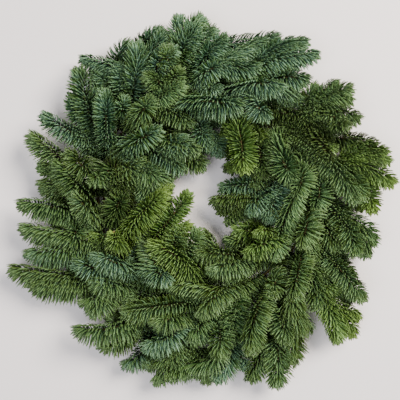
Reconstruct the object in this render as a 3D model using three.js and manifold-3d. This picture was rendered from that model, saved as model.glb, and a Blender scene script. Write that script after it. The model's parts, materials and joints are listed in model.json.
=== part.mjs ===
// Fresh noble fir wreath, lying on its back.
//
// A welded wire frame of two hoops and short rungs carries nineteen bunches of fir. Each bunch is three
// sprays, laid side by side on the frame as the inner, middle and outer spray, with their cut ends
// pointing anticlockwise and their tips clockwise. One length of binding wire goes round the frame and
// the stems, one turn to a bunch. The tips of each bunch cover the tie of the next, so the sprays rise
// from the frame and lie in layers. Millimetres, +Z up towards the viewer, 12 o'clock at +Y.
import * as THREE from "three";
import { mergeVertices } from "three/addons/utils/BufferGeometryUtils.js";
import Module from "manifold-3d";

const wasm = await Module();
wasm.setup();

// ---------------------------------------------------------------- driving dimensions

const RING_RADIUS = 152; // middle of a 12 inch wreath frame
const HOOP_OFFSET = 11; // each hoop from the middle of the frame
const HOOP_HALF = 1.6; // half the thickness of the frame wire
const RUNGS = 8;
const HOOP_SIDES = 5;
const HOOP_ROUND = HOOP_HALF / Math.sin((2 / 5) * Math.PI); // of the circle round its section
const WIRE = 1.0; // thickness of the binding wire
const GAP = 0.3; // between pieces that touch
const STEM_HEIGHT = 4.4; // thickness of a cut stem where it is tied
const LANES = { inner: -8, middle: 0, outer: 8 }; // each stem from the middle of the frame

const FRAME_Z = WIRE + GAP + HOOP_HALF;
const STEM_RADIUS = STEM_HEIGHT / 1.5; // of the circle round its three-sided section
const STEM_Z = FRAME_Z + HOOP_HALF + GAP + STEM_RADIUS / 2;
const WIRE_TOP_Z = STEM_Z + STEM_RADIUS + GAP + WIRE / 2;

const NEEDLE = 23; // length of a needle from the middle of a shoot
const TIP_NEEDLE = 12; // length at the end of a shoot, where the needles close in
const NEEDLE_LEAN = 52; // degrees between a needle and the shoot ahead of it
const WHORL_STEP = 17.8; // along the shoot
const WHORL_LENGTH = 2.4; // of shoot that a whorl of needles takes up
const SHOOT_RADIUS = 1.5;
const TWIG_BARE = 9; // of a side shoot, next to the shoot that it grows from
const SPRAY_BARE = 30; // of a spray, from its cut end, with the needles stripped off

// ---------------------------------------------------------------- layout

// The wreath is laid out on a square grid seen from the front, x to the right and y down, with squares
// of GRID millimetres. A shoot is given by its heel, where its last straight stretch starts, and by the
// tip of its foliage. Its layer says how high it lies: 0 is next to the surface, 3 is the top.
const GRID = 1.42;
const GRID_CENTRE = [202, 199];

const twig = (from, layer, heel, tip) => ({ from, layer, heel, tip });
const spray = (tone, layer, heel, tip, ...twigs) => ({ tone, layer, heel, tip, twigs });

// Clockwise from 12 o'clock.
const BUNCHES = [
  {
    outer: spray("blue", 2.2, [255, 62], [321, 58], twig(0.35, 1.4, [262, 50], [312, 43])),
    middle: spray("blue", 2.6, [238, 86], [283, 93], twig(0.4, 2.4, [242, 100], [268, 124])),
    inner: spray("lime", 2.6, [240, 125], [244, 175], twig(0.6, 1.6, [234, 150], [235, 175])),
  },
  {
    outer: spray("blue", 1.8, [262, 74], [311, 84], twig(0.5, 1.2, [282, 86], [300, 96])),
    middle: spray("olive", 0.8, [290, 108], [333, 145], twig(0.5, 0.6, [290, 120], [300, 148])),
    inner: spray("olive", 1.6, [256, 130], [262, 180]),
  },
  {
    outer: spray("green", 1.6, [315, 105], [362, 123], twig(0.45, 1.8, [320, 98], [355, 90]),
      twig(0.5, 2.2, [318, 114], [346, 128])),
    middle: spray("green", 2.2, [325, 152], [353, 206]),
    inner: spray("green", 2.4, [270, 142], [291, 185]),
  },
  {
    outer: spray("lime", 1.4, [358, 160], [396, 187], twig(0.45, 1.0, [350, 142], [392, 156]),
      twig(0.6, 1.0, [366, 180], [374, 216])),
    middle: spray("green", 2.6, [308, 168], [292, 200], twig(0.4, 1.8, [328, 178], [312, 214])),
    inner: spray("blue", 1.6, [280, 175], [270, 225]),
  },
  {
    outer: spray("green", 1.8, [345, 212], [354, 259], twig(0.5, 1.2, [358, 225], [366, 261]),
      twig(0.5, 0.6, [365, 215], [374, 250])),
    middle: spray("green", 2.4, [308, 215], [300, 249], twig(0.35, 1.4, [328, 222], [335, 255])),
    inner: spray("olive", 1.8, [248, 200], [208, 204], twig(0.6, 1.2, [245, 210], [225, 227])),
  },
  {
    outer: spray("green", 2.0, [332, 258], [364, 304], twig(0.45, 0.5, [345, 262], [357, 284])),
    middle: spray("green", 2.4, [302, 258], [290, 301], twig(0.5, 1.4, [318, 280], [313, 312])),
    inner: spray("lime", 2.6, [276, 241], [242, 256], twig(0.55, 2.8, [272, 228], [249, 238])),
  },
  {
    outer: spray("lime", 1.6, [340, 300], [335, 346], twig(0.5, 1.0, [350, 310], [362, 325])),
    middle: spray("green", 2.8, [256, 280], [250, 352]),
    inner: spray("green", 1.8, [255, 257], [192, 256], twig(0.5, 1.0, [245, 248], [220, 240])),
  },
  {
    outer: spray("green", 1.4, [285, 330], [274, 390], twig(0.45, 1.0, [266, 352], [249, 384]),
      twig(0.4, 0.8, [312, 310], [303, 340])),
    middle: spray("green", 2.2, [273, 300], [286, 345]),
    inner: spray("green", 2.4, [225, 282], [199, 318]),
  },
  {
    outer: spray("blue", 1.2, [242, 350], [213, 383]),
    middle: spray("green", 2.2, [219, 322], [221, 359]),
    inner: spray("green", 1.6, [185, 303], [120, 313]),
  },
  {
    outer: spray("green", 1.2, [195, 358], [152, 386], twig(0.4, 0.8, [209, 360], [204, 388])),
    middle: spray("blue", 2.2, [195, 338], [141, 347]),
    inner: spray("lime", 2.4, [205, 268], [147, 243]),
  },
  {
    outer: spray("blue", 0.8, [160, 362], [121, 367]),
    middle: spray("green", 2.0, [145, 340], [73, 331], twig(0.5, 1.0, [140, 348], [96, 350])),
    inner: spray("green", 1.4, [196, 256], [199, 227]),
  },
  {
    outer: spray("green", 1.4, [80, 287], [6, 271], twig(0.3, 1.2, [118, 303], [78, 305])),
    middle: spray("blue", 2.6, [135, 268], [90, 256], twig(0.3, 2.8, [140, 262], [174, 283])),
    inner: spray("lime", 1.8, [168, 228], [191, 190], twig(0.4, 1.2, [175, 240], [192, 224])),
  },
  {
    outer: spray("blue", 1.6, [80, 258], [22, 256]),
    middle: spray("green", 1.4, [68, 243], [18, 229]),
    inner: spray("lime", 2.4, [130, 228], [169, 191], twig(0.2, 2.6, [120, 258], [114, 226])),
  },
  {
    outer: spray("green", 2.2, [75, 212], [17, 206], twig(0.35, 2.2, [80, 222], [67, 250])),
    middle: spray("green", 2.0, [84, 196], [52, 162], twig(0.4, 0.6, [65, 198], [36, 190])),
    inner: spray("olive", 1.4, [116, 215], [124, 188]),
  },
  {
    outer: spray("green", 1.6, [65, 168], [27, 134], twig(0.4, 0.8, [62, 182], [36, 165])),
    middle: spray("green", 2.2, [90, 172], [64, 153]),
    inner: spray("green", 1.8, [125, 180], [148, 162], twig(0.45, 2.6, [112, 170], [90, 188])),
  },
  {
    outer: spray("blue", 1.8, [84, 120], [78, 66], twig(0.3, 1.6, [78, 145], [39, 115])),
    middle: spray("blue", 2.6, [108, 135], [107, 90]),
    inner: spray("blue", 3.0, [120, 155], [165, 132], twig(0.35, 1.6, [135, 168], [157, 174]),
      twig(0.55, 1.4, [160, 160], [184, 173])),
  },
  {
    outer: spray("blue", 1.8, [142, 75], [137, 42], twig(0.3, 1.4, [122, 95], [117, 62]),
      twig(0.45, 1.0, [112, 68], [76, 60]), twig(0.3, 0.2, [120, 55], [165, 25])),
    middle: spray("green", 2.4, [150, 106], [188, 87], twig(0.7, 2.6, [168, 88], [141, 80])),
    inner: spray("green", 2.0, [160, 148], [199, 153], twig(0.5, 1.0, [180, 158], [207, 168])),
  },
  {
    outer: spray("blue", 1.4, [172, 52], [205, 16], twig(0.5, 1.2, [176, 32], [180, 11]),
      twig(0.3, 1.8, [184, 62], [203, 24])),
    middle: spray("blue", 2.4, [148, 66], [182, 52]),
    inner: spray("blue", 2.8, [195, 106], [242, 113], twig(0.3, 1.2, [165, 122], [187, 122])),
  },
  {
    outer: spray("blue", 1.8, [202, 60], [230, 37], twig(0.4, 1.6, [195, 46], [219, 27])),
    middle: spray("blue", 2.2, [198, 76], [231, 68], twig(0.4, 1.4, [195, 90], [225, 92]),
      twig(0.2, 2.4, [178, 90], [180, 70])),
    inner: spray("blue", 1.2, [195, 140], [215, 146], twig(0.6, 0.8, [213, 148], [222, 160])),
  },
];

const TONES = {
  blue: "#3f6b58",
  green: "#4a7038",
  lime: "#6f8a30",
  olive: "#3f4f24",
};

// ---------------------------------------------------------------- plan of a shoot

const TAU = 2 * Math.PI;
const lerp = (a, b, t) => a + (b - a) * t;
const clamp = (v, low, high) => Math.min(high, Math.max(low, v));
const ease = (t) => t * t * (3 - 2 * t);
const plan = ([x, y]) => [(x - GRID_CENTRE[0]) * GRID, (GRID_CENTRE[1] - y) * GRID];

// A point on the wreath by clock angle, clockwise from 12 o'clock in radians, and radius.
const onRing = (angle, radius) => [radius * Math.sin(angle), radius * Math.cos(angle)];
const bunchAngle = (index) => (index / BUNCHES.length) * TAU;

// How high foliage lies: a flat dome over the frame, divided into layers.
const SURFACE_LAYER = 15;
const DOME = 52;
const DOME_REACH = 165;
function layerHeight(x, y, layer) {
  const off = (Math.hypot(x, y) - RING_RADIUS) / DOME_REACH;
  return SURFACE_LAYER + (layer / 3) * DOME * (1 - off * off);
}

function bezier(p, t) {
  const u = 1 - t;
  const w = [u * u * u, 3 * u * u * t, 3 * u * t * t, t * t * t];
  return [0, 1].map((k) => w[0] * p[0][k] + w[1] * p[1][k] + w[2] * p[2][k] + w[3] * p[3][k]);
}

// Points about STEP apart along a curve that leaves start in the direction given, and reaches the tip
// along the line from heel to tip, short of the end of its foliage.
const STEP = 7;
const FOLIAGE_PAST_SHOOT = 9;
function reach(start, direction, heel, tip) {
  const line = [tip[0] - heel[0], tip[1] - heel[1]];
  const length = Math.hypot(...line);
  const end = [0, 1].map((k) => tip[k] - (line[k] / length) * FOLIAGE_PAST_SHOOT);
  const toHeel = Math.hypot(heel[0] - start[0], heel[1] - start[1]);
  const lead = Math.min(0.6 * toHeel, 45);
  const controls = [start, [0, 1].map((k) => start[k] + direction[k] * lead), heel, end];
  const steps = Math.max(3, Math.round((toHeel + length - FOLIAGE_PAST_SHOOT) / STEP));
  return Array.from({ length: steps + 1 }, (_, i) => bezier(controls, i / steps));
}

// How far along each point lies.
function lengths(points) {
  const along = [0];
  for (let i = 1; i < points.length; i++) {
    const [a, b] = [points[i - 1], points[i]];
    along.push(along[i - 1] + Math.hypot(...a.map((v, k) => b[k] - v)));
  }
  return along;
}

const TIE_HALF = 10; // of stem, each side of its turn of wire
const RISE_SHARE = 0.82; // of a shoot's free length, in which it climbs to its layer

// For each point, its share of the climb from where the shoot is held (0) to its layer (1).
function climb(points, held) {
  const along = lengths(points);
  const rise = RISE_SHARE * (along[along.length - 1] - held);
  return along.map((s) => ease(clamp((s - held) / rise, 0, 1)));
}

// A spray's own shoot: the tied stem along its lane, then the free part.
function sprayShoot(index, lane, made) {
  const radius = RING_RADIUS + LANES[lane];
  const angle = bunchAngle(index);
  const half = TIE_HALF / radius;
  const stem = [angle - half, angle, angle + half].map((a) => onRing(a, radius));
  const direction = [Math.cos(angle + half), -Math.sin(angle + half)];
  const free = reach(stem[2], direction, plan(made.heel), plan(made.tip));
  const flat = [stem[0], stem[1], ...free];
  return {
    flat,
    layer: made.layer,
    hold: climb(flat, 2 * TIE_HALF),
    anchor: () => STEM_Z,
  };
}

// A side shoot springs from its parent at a share of the parent's free length.
function sideShoot(parent, made) {
  const at = clamp(Math.round(2 + made.from * (parent.flat.length - 3)), 3, parent.flat.length - 2);
  const [a, b] = [parent.flat[at - 1], parent.flat[at + 1]];
  const size = Math.hypot(b[0] - a[0], b[1] - a[1]);
  const direction = [(b[0] - a[0]) / size, (b[1] - a[1]) / size];
  const flat = reach(parent.flat[at], direction, plan(made.heel), plan(made.tip));
  return {
    flat,
    layer: made.layer,
    hold: climb(flat, 0),
    anchor: () => heightAt(parent, at),
    parent,
  };
}

// ---------------------------------------------------------------- layers settle on each other

const SHOOT_SPACING = 7.5; // between the middles of two shoots that cross
const WIRE_SPACING = 4.5; // between the middle of a shoot and the middle of a turn of wire
const LOWEST_SHOOT = 9;
const ROUNDS = 300;
const LAST_ROUNDS = 30; // in which nothing springs back

const heightAt = (shoot, i) => lerp(shoot.anchor(), shoot.own[i], shoot.hold[i]);

// Moves shoots up and down until those that cross are far enough apart. Plans don't change.
function settle(sprays, fixed) {
  const shoots = sprays.flatMap((s) => s.shoots);
  for (const s of shoots) {
    s.target = s.flat.map(([x, y]) => layerHeight(x, y, s.layer));
    s.own = [...s.target];
  }
  const near = crossings(sprays);
  const wires = wireCrossings(shoots, fixed);
  for (let round = 0; round < ROUNDS; round++) {
    for (const c of near) {
      const gap = (heightAt(c.high, c.i) - heightAt(c.low, c.j)) - c.need;
      if (gap >= 0) continue;
      const [up, down] = [c.high.hold[c.i], c.low.hold[c.j]];
      const total = up + down;
      if (total < 0.02) continue;
      c.high.own[c.i] -= (gap * 0.5 * up) / total;
      c.low.own[c.j] += (gap * 0.5 * down) / total;
    }
    for (const w of wires) {
      const gap = heightAt(w.shoot, w.i) - w.least;
      if (gap < 0 && w.shoot.hold[w.i] > 0.02) w.shoot.own[w.i] -= gap;
    }
    if (round < ROUNDS - LAST_ROUNDS) shoots.forEach(relax);
  }
}

const STIFFNESS = 0.12;
const RETURN = 0.01;
function relax(shoot) {
  const { own, target } = shoot;
  const before = [...own];
  for (let i = 0; i < own.length; i++) {
    const last = before[Math.max(0, i - 1)];
    const next = before[Math.min(own.length - 1, i + 1)];
    own[i] += STIFFNESS * (last + next - 2 * before[i]) + RETURN * (target[i] - before[i]);
    own[i] = Math.max(own[i], LOWEST_SHOOT);
  }
}

// A stem near its tie always lies below what crosses it.
const TIED_LOW = 1000;
const nearTie = (shoot, i) => (!shoot.parent && shoot.hold[i] < 0.2 ? 1 : 0);

// Pairs of points of two sprays that lie over each other, with the height that they need between them.
// Of two sprays, one lies over the other wherever they cross.
function crossings(sprays) {
  return sprays.flatMap((one, a) => sprays.slice(a + 1).flatMap((other) => {
    const pairs = [];
    let lift = 0;
    for (const high of one.shoots) {
      for (const low of other.shoots) {
        high.flat.forEach(([x, y], i) => low.flat.forEach(([u, v], j) => {
          const off = Math.hypot(x - u, y - v);
          if (off >= SHOOT_SPACING) return;
          pairs.push({ high, low, i, j, need: Math.sqrt(SHOOT_SPACING ** 2 - off ** 2) });
          lift += heightAt(high, i) - heightAt(low, j);
          lift += TIED_LOW * (nearTie(low, j) - nearTie(high, i));
        }));
      }
    }
    if (lift >= 0) return pairs;
    return pairs.map(({ high, low, i, j, need }) => ({ high: low, low: high, i: j, j: i, need }));
  }));
}

function wireCrossings(shoots, fixed) {
  const found = [];
  for (const shoot of shoots) {
    shoot.flat.forEach(([x, y], i) => {
      for (const [u, v, z] of fixed) {
        const off = Math.hypot(x - u, y - v);
        if (off < WIRE_SPACING) {
          found.push({ shoot, i, least: z + Math.sqrt(WIRE_SPACING ** 2 - off ** 2) });
        }
      }
    });
  }
  return found;
}

// ---------------------------------------------------------------- binding wire

const WIRE_SIDE = HOOP_OFFSET + HOOP_ROUND + GAP + WIRE / 2;
const WIRE_TURN = 0.035; // radians that a turn moves on while it crosses the stems
const WIRE_CORNER = 1.8;
const TURN_POINTS = 6;

// Each turn comes up outside the frame, crosses the stems towards the middle of the wreath, goes down
// and passes under the frame to the next bunch. Its two ends lie under the frame in line.
function wirePath() {
  const low = WIRE / 2;
  const at = (k, share, side, z) => {
    return new THREE.Vector3(...onRing(bunchAngle(k) + share * WIRE_TURN, RING_RADIUS + side), z);
  };
  const path = [];
  BUNCHES.forEach((_, k) => {
    path.push(at(k, -1, WIRE_SIDE, low));
    path.push(at(k, -0.5, WIRE_SIDE, WIRE_TOP_Z - WIRE_CORNER));
    path.push(at(k, -0.4, WIRE_SIDE - WIRE_CORNER, WIRE_TOP_Z));
    path.push(at(k, 0.4, -WIRE_SIDE + WIRE_CORNER, WIRE_TOP_Z));
    path.push(at(k, 0.5, -WIRE_SIDE, WIRE_TOP_Z - WIRE_CORNER));
    path.push(at(k, 1, -WIRE_SIDE, low));
  });
  const [first, last] = [path[0], path[path.length - 1]];
  return [last.clone().lerp(first, 0.6), ...path, last.clone().lerp(first, 0.4)];
}

// At each point of a turn, how steeply the wire rises there and half of its bend, in degrees.
const PITCHES = [45, 67.5, 22.5, -22.5, -67.5, -45];
const HALF_BENDS = [45, 22.5, 22.5, 22.5, 22.5, 45];

// A tube of square section along the path, mitred at each bend. Its stretches under the frame and over
// the stems are level, with level sides.
function wireGeometry(path) {
  const last = path.length - 1;
  const rings = path.map((p, i) => {
    const place = (i - 1) % TURN_POINTS;
    const end = i === 0 || i === last;
    const over = !end && place > 0 && place < TURN_POINTS - 1;
    const from = over ? i - place + 2 : i - (i === last || place === 0 ? 1 : 0);
    const level = path[from + 1].clone().sub(path[from]).setZ(0).normalize();
    const outward = new THREE.Vector3(0, 0, over ? 1 : -1);
    const pitch = THREE.MathUtils.degToRad(end ? 0 : PITCHES[place]);
    const along = level.clone().multiplyScalar(Math.cos(pitch));
    along.z = Math.sin(pitch);
    const across = level.cross(outward);
    const normal = across.clone().cross(along);
    const mitre = 1 / Math.cos(THREE.MathUtils.degToRad(end ? 0 : HALF_BENDS[place]));
    return [[1, 1], [1, -1], [-1, -1], [-1, 1]].map(([n, a]) => {
      const corner = p.clone().addScaledVector(across, (a * WIRE) / 2);
      return corner.addScaledVector(normal, (n * mitre * WIRE) / 2);
    });
  });
  return tubeGeometry(rings);
}

// A closed tube through rings of the same number of corners.
function tubeGeometry(rings) {
  const positions = [];
  const put = (...corners) => corners.forEach((v) => positions.push(v.x, v.y, v.z));
  const sides = rings[0].length;
  for (let i = 1; i < rings.length; i++) {
    for (let k = 0; k < sides; k++) {
      const [a, b] = [rings[i - 1][k], rings[i][k]];
      const [c, d] = [rings[i][(k + 1) % sides], rings[i - 1][(k + 1) % sides]];
      put(a, b, c, a, c, d);
    }
  }
  const [first, last] = [rings[0], rings[rings.length - 1]];
  for (let k = 2; k < sides; k++) {
    put(first[0], first[k - 1], first[k]);
    put(last[0], last[k], last[k - 1]);
  }
  return new THREE.BufferGeometry().setAttribute("position", new THREE.Float32BufferAttribute(positions, 3));
}

// ---------------------------------------------------------------- needles

// A seeded draw of numbers from 0 to 1.
function draws(seed) {
  let state = seed;
  return () => {
    state = (state * 48271) % 2147483647;
    return state / 2147483647;
  };
}

// A curve through a shoot's settled points.
function curveOf(shoot) {
  return new THREE.CatmullRomCurve3(
    shoot.flat.map(([x, y], i) => new THREE.Vector3(x, y, heightAt(shoot, i))),
    false,
    "centripetal",
  );
}

// The length along which two straight pieces come nearest, as shares of each, and their distance there.
function nearest(a, b, c, d) {
  const u = b.clone().sub(a);
  const v = d.clone().sub(c);
  const w = a.clone().sub(c);
  const [uu, uv, vv, uw, vw] = [u.dot(u), u.dot(v), v.dot(v), u.dot(w), v.dot(w)];
  const denominator = uu * vv - uv * uv;
  let s = denominator > 1e-9 ? clamp((uv * vw - vv * uw) / denominator, 0, 1) : 0;
  const t = clamp((uv * s + vw) / vv, 0, 1);
  s = clamp((uv * t - uw) / uu, 0, 1);
  return { s, t, distance: w.addScaledVector(u, s).addScaledVector(v, -t).length() };
}

// Tapered straight pieces kept in cells, to find those that another would cross.
class Thicket {
  constructor(cell) {
    this.cell = cell;
    this.cells = new Map();
  }

  around(piece) {
    const keys = [];
    const low = piece.a.clone().min(piece.b).divideScalar(this.cell).floor();
    const high = piece.a.clone().max(piece.b).divideScalar(this.cell).floor();
    for (let x = low.x - 1; x <= high.x + 1; x++) {
      for (let y = low.y - 1; y <= high.y + 1; y++) {
        for (let z = low.z - 1; z <= high.z + 1; z++) keys.push(`${x},${y},${z}`);
      }
    }
    return keys;
  }

  add(piece) {
    const middle = piece.a.clone().add(piece.b).multiplyScalar(0.5).divideScalar(this.cell).floor();
    const key = `${middle.x},${middle.y},${middle.z}`;
    if (!this.cells.has(key)) this.cells.set(key, []);
    this.cells.get(key).push(piece);
  }

  clear(piece, clearance) {
    for (const key of this.around(piece)) {
      for (const other of this.cells.get(key) ?? []) {
        if (other.whorl && other.whorl === piece.whorl) continue;
        if (other.shoot === piece.shoot && other.core) continue;
        const { s, t, distance } = nearest(piece.a, piece.b, other.a, other.b);
        if (other.shoot === piece.shoot && s < 0.25) continue;
        const thick = lerp(piece.ra, piece.rb, s) + lerp(other.ra, other.rb, t);
        if (distance < thick + clearance) return false;
      }
    }
    return true;
  }
}

const CLEARANCE = 0.35;
const LEAST_HEIGHT = 0.5;
const NEEDLE_ROOT = 1.45;
const BENDS = [0, 9, 18, 27, 36, 46];
const BEND_WAYS = 8;
const SHARES = [1, 0.82, 0.64];

// Finds a place for a needle as near as it can to the way that it would grow. Null if there is none.
function placeNeedle(root, wish, normal, length, piece, thicket) {
  const side = new THREE.Vector3(0, 0, 1).cross(wish);
  if (side.length() < 0.05) side.set(1, 0, 0);
  side.normalize();
  const over = wish.clone().cross(side).normalize();
  for (const share of SHARES) {
    for (const bend of BENDS) {
      for (let way = 0; way < (bend ? BEND_WAYS : 1); way++) {
        const [tilt, turn] = [THREE.MathUtils.degToRad(bend), (way / BEND_WAYS) * TAU];
        const direction = wish.clone().multiplyScalar(Math.cos(tilt))
          .addScaledVector(side, Math.sin(tilt) * Math.cos(turn))
          .addScaledVector(over, Math.sin(tilt) * Math.sin(turn));
        if (direction.dot(normal) < 0.4) continue;
        const tip = root.clone().addScaledVector(direction, length * share);
        if (tip.z < LEAST_HEIGHT) continue;
        const tried = { ...piece, a: root, b: tip, ra: NEEDLE_ROOT, rb: 0 };
        if (thicket.clear(tried, CLEARANCE)) return tried;
      }
    }
  }
  return null;
}

// ---------------------------------------------------------------- the solid of a shoot

// Radius of a shoot's three-sided core, from a tied stem to a thin tip.
function coreRadius(shoot, s, total) {
  const base = shoot.parent ? SHOOT_RADIUS * 1.15 : STEM_RADIUS;
  const middle = SHOOT_RADIUS * 1.1;
  const taper = shoot.parent ? 12 : 2 * TIE_HALF + 16;
  if (s < taper) return lerp(base, middle, ease(clamp((s - (shoot.parent ? 0 : 2 * TIE_HALF)) / 16, 0, 1)));
  return lerp(middle, SHOOT_RADIUS * 0.85, (s - taper) / (total - taper));
}

// Where rings of the core and whorls of needles stand along a shoot.
function stations(shoot, total) {
  const bare = shoot.parent ? TWIG_BARE : SPRAY_BARE;
  const count = Math.max(2, Math.round((total - bare) / WHORL_STEP));
  const step = (total - bare - WHORL_LENGTH) / (count - 1);
  const whorls = Array.from({ length: count }, (_, i) => bare + i * step);
  const plain = shoot.parent ? [0] : [0, TIE_HALF, 2 * TIE_HALF];
  return { plain, whorls };
}

// Three points round the shoot, turned by an angle.
function ring(curve, total, s, radius, turn) {
  const t = clamp(s / total, 0, 1);
  const middle = curve.getPointAt(t);
  const along = curve.getTangentAt(t);
  const side = along.clone().cross(new THREE.Vector3(0, 0, 1)).normalize();
  const up = side.clone().cross(along).normalize();
  const corners = [0, 1, 2].map((k) => {
    const a = turn + (k / 3) * TAU;
    const corner = middle.clone().addScaledVector(side, Math.sin(a) * radius);
    return corner.addScaledVector(up, Math.cos(a) * radius);
  });
  return { s, middle, along, corners };
}

const WHORL_TURN = Math.PI / 6; // each whorl from the one before it
const HALF_SIXTH = Math.PI / 3;

// The rings of a shoot's core and its whorls. A whorl is two rings turned by a sixth against each other,
// which makes six triangles round the shoot, and each of them carries a needle.
function outline(shoot) {
  const curve = curveOf(shoot);
  const total = curve.getLength();
  const { plain, whorls } = stations(shoot, total);
  const rings = plain.map((s) => ring(curve, total, s, coreRadius(shoot, s, total), 0));
  const whorlAt = [];
  whorls.forEach((s, i) => {
    const turn = i * (HALF_SIXTH + WHORL_TURN);
    whorlAt.push(rings.length);
    rings.push(ring(curve, total, s, coreRadius(shoot, s, total), turn));
    rings.push(ring(curve, total, s + WHORL_LENGTH, coreRadius(shoot, s, total), turn + HALF_SIXTH));
  });
  return { shoot, total, rings, whorlAt, needles: new Map() };
}

// The six triangles between two rings.
function band(low, high) {
  return [0, 1, 2].flatMap((k) => {
    const next = (k + 1) % 3;
    return [
      [low.corners[k], low.corners[next], high.corners[k]],
      [low.corners[next], high.corners[next], high.corners[k]],
    ];
  });
}

const centreOf = (face) => face[0].clone().add(face[1]).add(face[2]).divideScalar(3);

// Grows the needles of one whorl.
function growWhorl(made, index, thicket, draw) {
  const at = made.whorlAt[index];
  const [low, high] = [made.rings[at], made.rings[at + 1]];
  const last = index === made.whorlAt.length - 1;
  const fromTip = (made.total - low.s) / (1.6 * NEEDLE);
  const length = lerp(TIP_NEEDLE, NEEDLE, ease(clamp(fromTip, 0, 1)));
  const lean = THREE.MathUtils.degToRad(last ? 0.62 * NEEDLE_LEAN : NEEDLE_LEAN);
  band(low, high).forEach((face, k) => {
    const centre = centreOf(face);
    const normal = centre.clone().sub(low.middle.clone().add(high.middle).multiplyScalar(0.5));
    normal.addScaledVector(low.along, -normal.dot(low.along)).normalize();
    const tilt = lean * lerp(0.88, 1.12, draw());
    const wish = low.along.clone().multiplyScalar(Math.cos(tilt)).addScaledVector(normal, Math.sin(tilt));
    wish.z += 0.12;
    wish.normalize();
    const whorl = `${made.shoot.number}:${index}`;
    const grown = length * lerp(0.92, 1.08, draw());
    const piece = placeNeedle(centre, wish, normal, grown, { shoot: made.shoot, whorl }, thicket);
    if (!piece) return;
    thicket.add(piece);
    made.needles.set(`${at}:${k}`, piece.b);
  });
}

// The closed surface of a shoot. A triangle with a needle is drawn out to the needle's tip.
function shootGeometry(made) {
  const positions = [];
  const put = (face) => face.forEach((v) => positions.push(v.x, v.y, v.z));
  const { rings, needles } = made;
  const [first, last] = [rings[0], rings[rings.length - 1]];
  put([first.corners[2], first.corners[1], first.corners[0]]);
  for (let i = 1; i < rings.length; i++) {
    band(rings[i - 1], rings[i]).forEach((face, k) => {
      const tip = needles.get(`${i - 1}:${k}`);
      if (!tip) {
        put(face);
        return;
      }
      put([face[0], face[1], tip]);
      put([face[1], face[2], tip]);
      put([face[2], face[0], tip]);
    });
  }
  const bud = last.middle.clone().addScaledVector(last.along, SHOOT_RADIUS * 2.6);
  for (let k = 0; k < 3; k++) put([last.corners[k], last.corners[(k + 1) % 3], bud]);
  return new THREE.BufferGeometry().setAttribute("position", new THREE.Float32BufferAttribute(positions, 3));
}

// ---------------------------------------------------------------- solids

const WELD = 1e-4;
function solidOf(geometry) {
  const bare = geometry.index ? geometry.toNonIndexed() : geometry;
  const merged = mergeVertices(
    new THREE.BufferGeometry().setAttribute("position", bare.getAttribute("position")),
    WELD,
  );
  return new wasm.Manifold(new wasm.Mesh({
    numProp: 3,
    vertProperties: merged.attributes.position.array,
    triVerts: new Uint32Array(merged.index.array),
  }));
}

function geometryOf(solid) {
  const mesh = solid.getMesh();
  return new THREE.BufferGeometry()
    .setAttribute("position", new THREE.BufferAttribute(new Float32Array(mesh.vertProperties), 3))
    .setIndex(new THREE.BufferAttribute(new Uint32Array(mesh.triVerts), 1));
}

// Two hoops with rungs between them, whose ends are sunk in the hoops. The hoops have a corner at each
// bunch.
function frameSolid() {
  let frame = null;
  for (const side of [-1, 1]) {
    const hoop = new THREE.TorusGeometry(RING_RADIUS + side * HOOP_OFFSET, HOOP_ROUND, HOOP_SIDES,
      2 * BUNCHES.length);
    hoop.rotateZ(Math.PI / 2).translate(0, 0, FRAME_Z);
    frame = frame ? frame.add(solidOf(hoop)) : solidOf(hoop);
  }
  for (let k = 0; k < RUNGS; k++) {
    const rung = new THREE.CylinderGeometry(0.8 * HOOP_HALF, 0.8 * HOOP_HALF, 2 * HOOP_OFFSET, 6);
    rung.translate(0, RING_RADIUS, 0).rotateZ(-((k + 0.5) / RUNGS) * TAU).translate(0, 0, FRAME_Z);
    frame = frame.add(solidOf(rung));
  }
  return frame;
}

// ---------------------------------------------------------------- the wreath

const path = wirePath();
const wireAt = [];
BUNCHES.forEach((_, k) => {
  const [a, b] = [path[k * TURN_POINTS + 3], path[k * TURN_POINTS + 4]];
  for (let i = 0; i <= 12; i++) wireAt.push(a.clone().lerp(b, i / 12).toArray());
});

const shoots = [];
const sprays = [];
BUNCHES.forEach((bunch, index) => {
  for (const lane of ["inner", "middle", "outer"]) {
    const made = bunch[lane];
    const name = `bunch_${String(index + 1).padStart(2, "0")}_${lane}_spray`;
    const own = sprayShoot(index, lane, made);
    const all = [own, ...made.twigs.map((t) => sideShoot(own, t))];
    for (const shoot of all) {
      shoot.spray = name;
      shoot.number = shoots.length;
      shoots.push(shoot);
    }
    sprays.push({ name, tone: made.tone, shoots: all });
  }
});

settle(sprays, wireAt);

const thicket = new Thicket(24);
const outlines = shoots.map(outline);
for (const made of outlines) {
  for (let i = 1; i < made.rings.length; i++) {
    const [a, b] = [made.rings[i - 1], made.rings[i]];
    const radius = coreRadius(made.shoot, a.s, made.total);
    thicket.add({ a: a.middle, b: b.middle, ra: radius, rb: radius, shoot: made.shoot, core: true });
  }
}
for (let i = 1; i < path.length; i++) {
  thicket.add({ a: path[i - 1], b: path[i], ra: 0.75 * WIRE, rb: 0.75 * WIRE });
}

for (const side of [-1, 1]) {
  const count = 2 * BUNCHES.length;
  for (let k = 0; k < count; k++) {
    const ends = [k, k + 1].map((i) => {
      return new THREE.Vector3(...onRing((i / count) * TAU, RING_RADIUS + side * HOOP_OFFSET), FRAME_Z);
    });
    thicket.add({ a: ends[0], b: ends[1], ra: HOOP_ROUND, rb: HOOP_ROUND });
  }
}
for (let k = 0; k < RUNGS; k++) {
  const ends = [-1, 1].map((side) => {
    const at = onRing(((k + 0.5) / RUNGS) * TAU, RING_RADIUS + side * HOOP_OFFSET);
    return new THREE.Vector3(...at, FRAME_Z);
  });
  thicket.add({ a: ends[0], b: ends[1], ra: HOOP_HALF, rb: HOOP_HALF });
}

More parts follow.
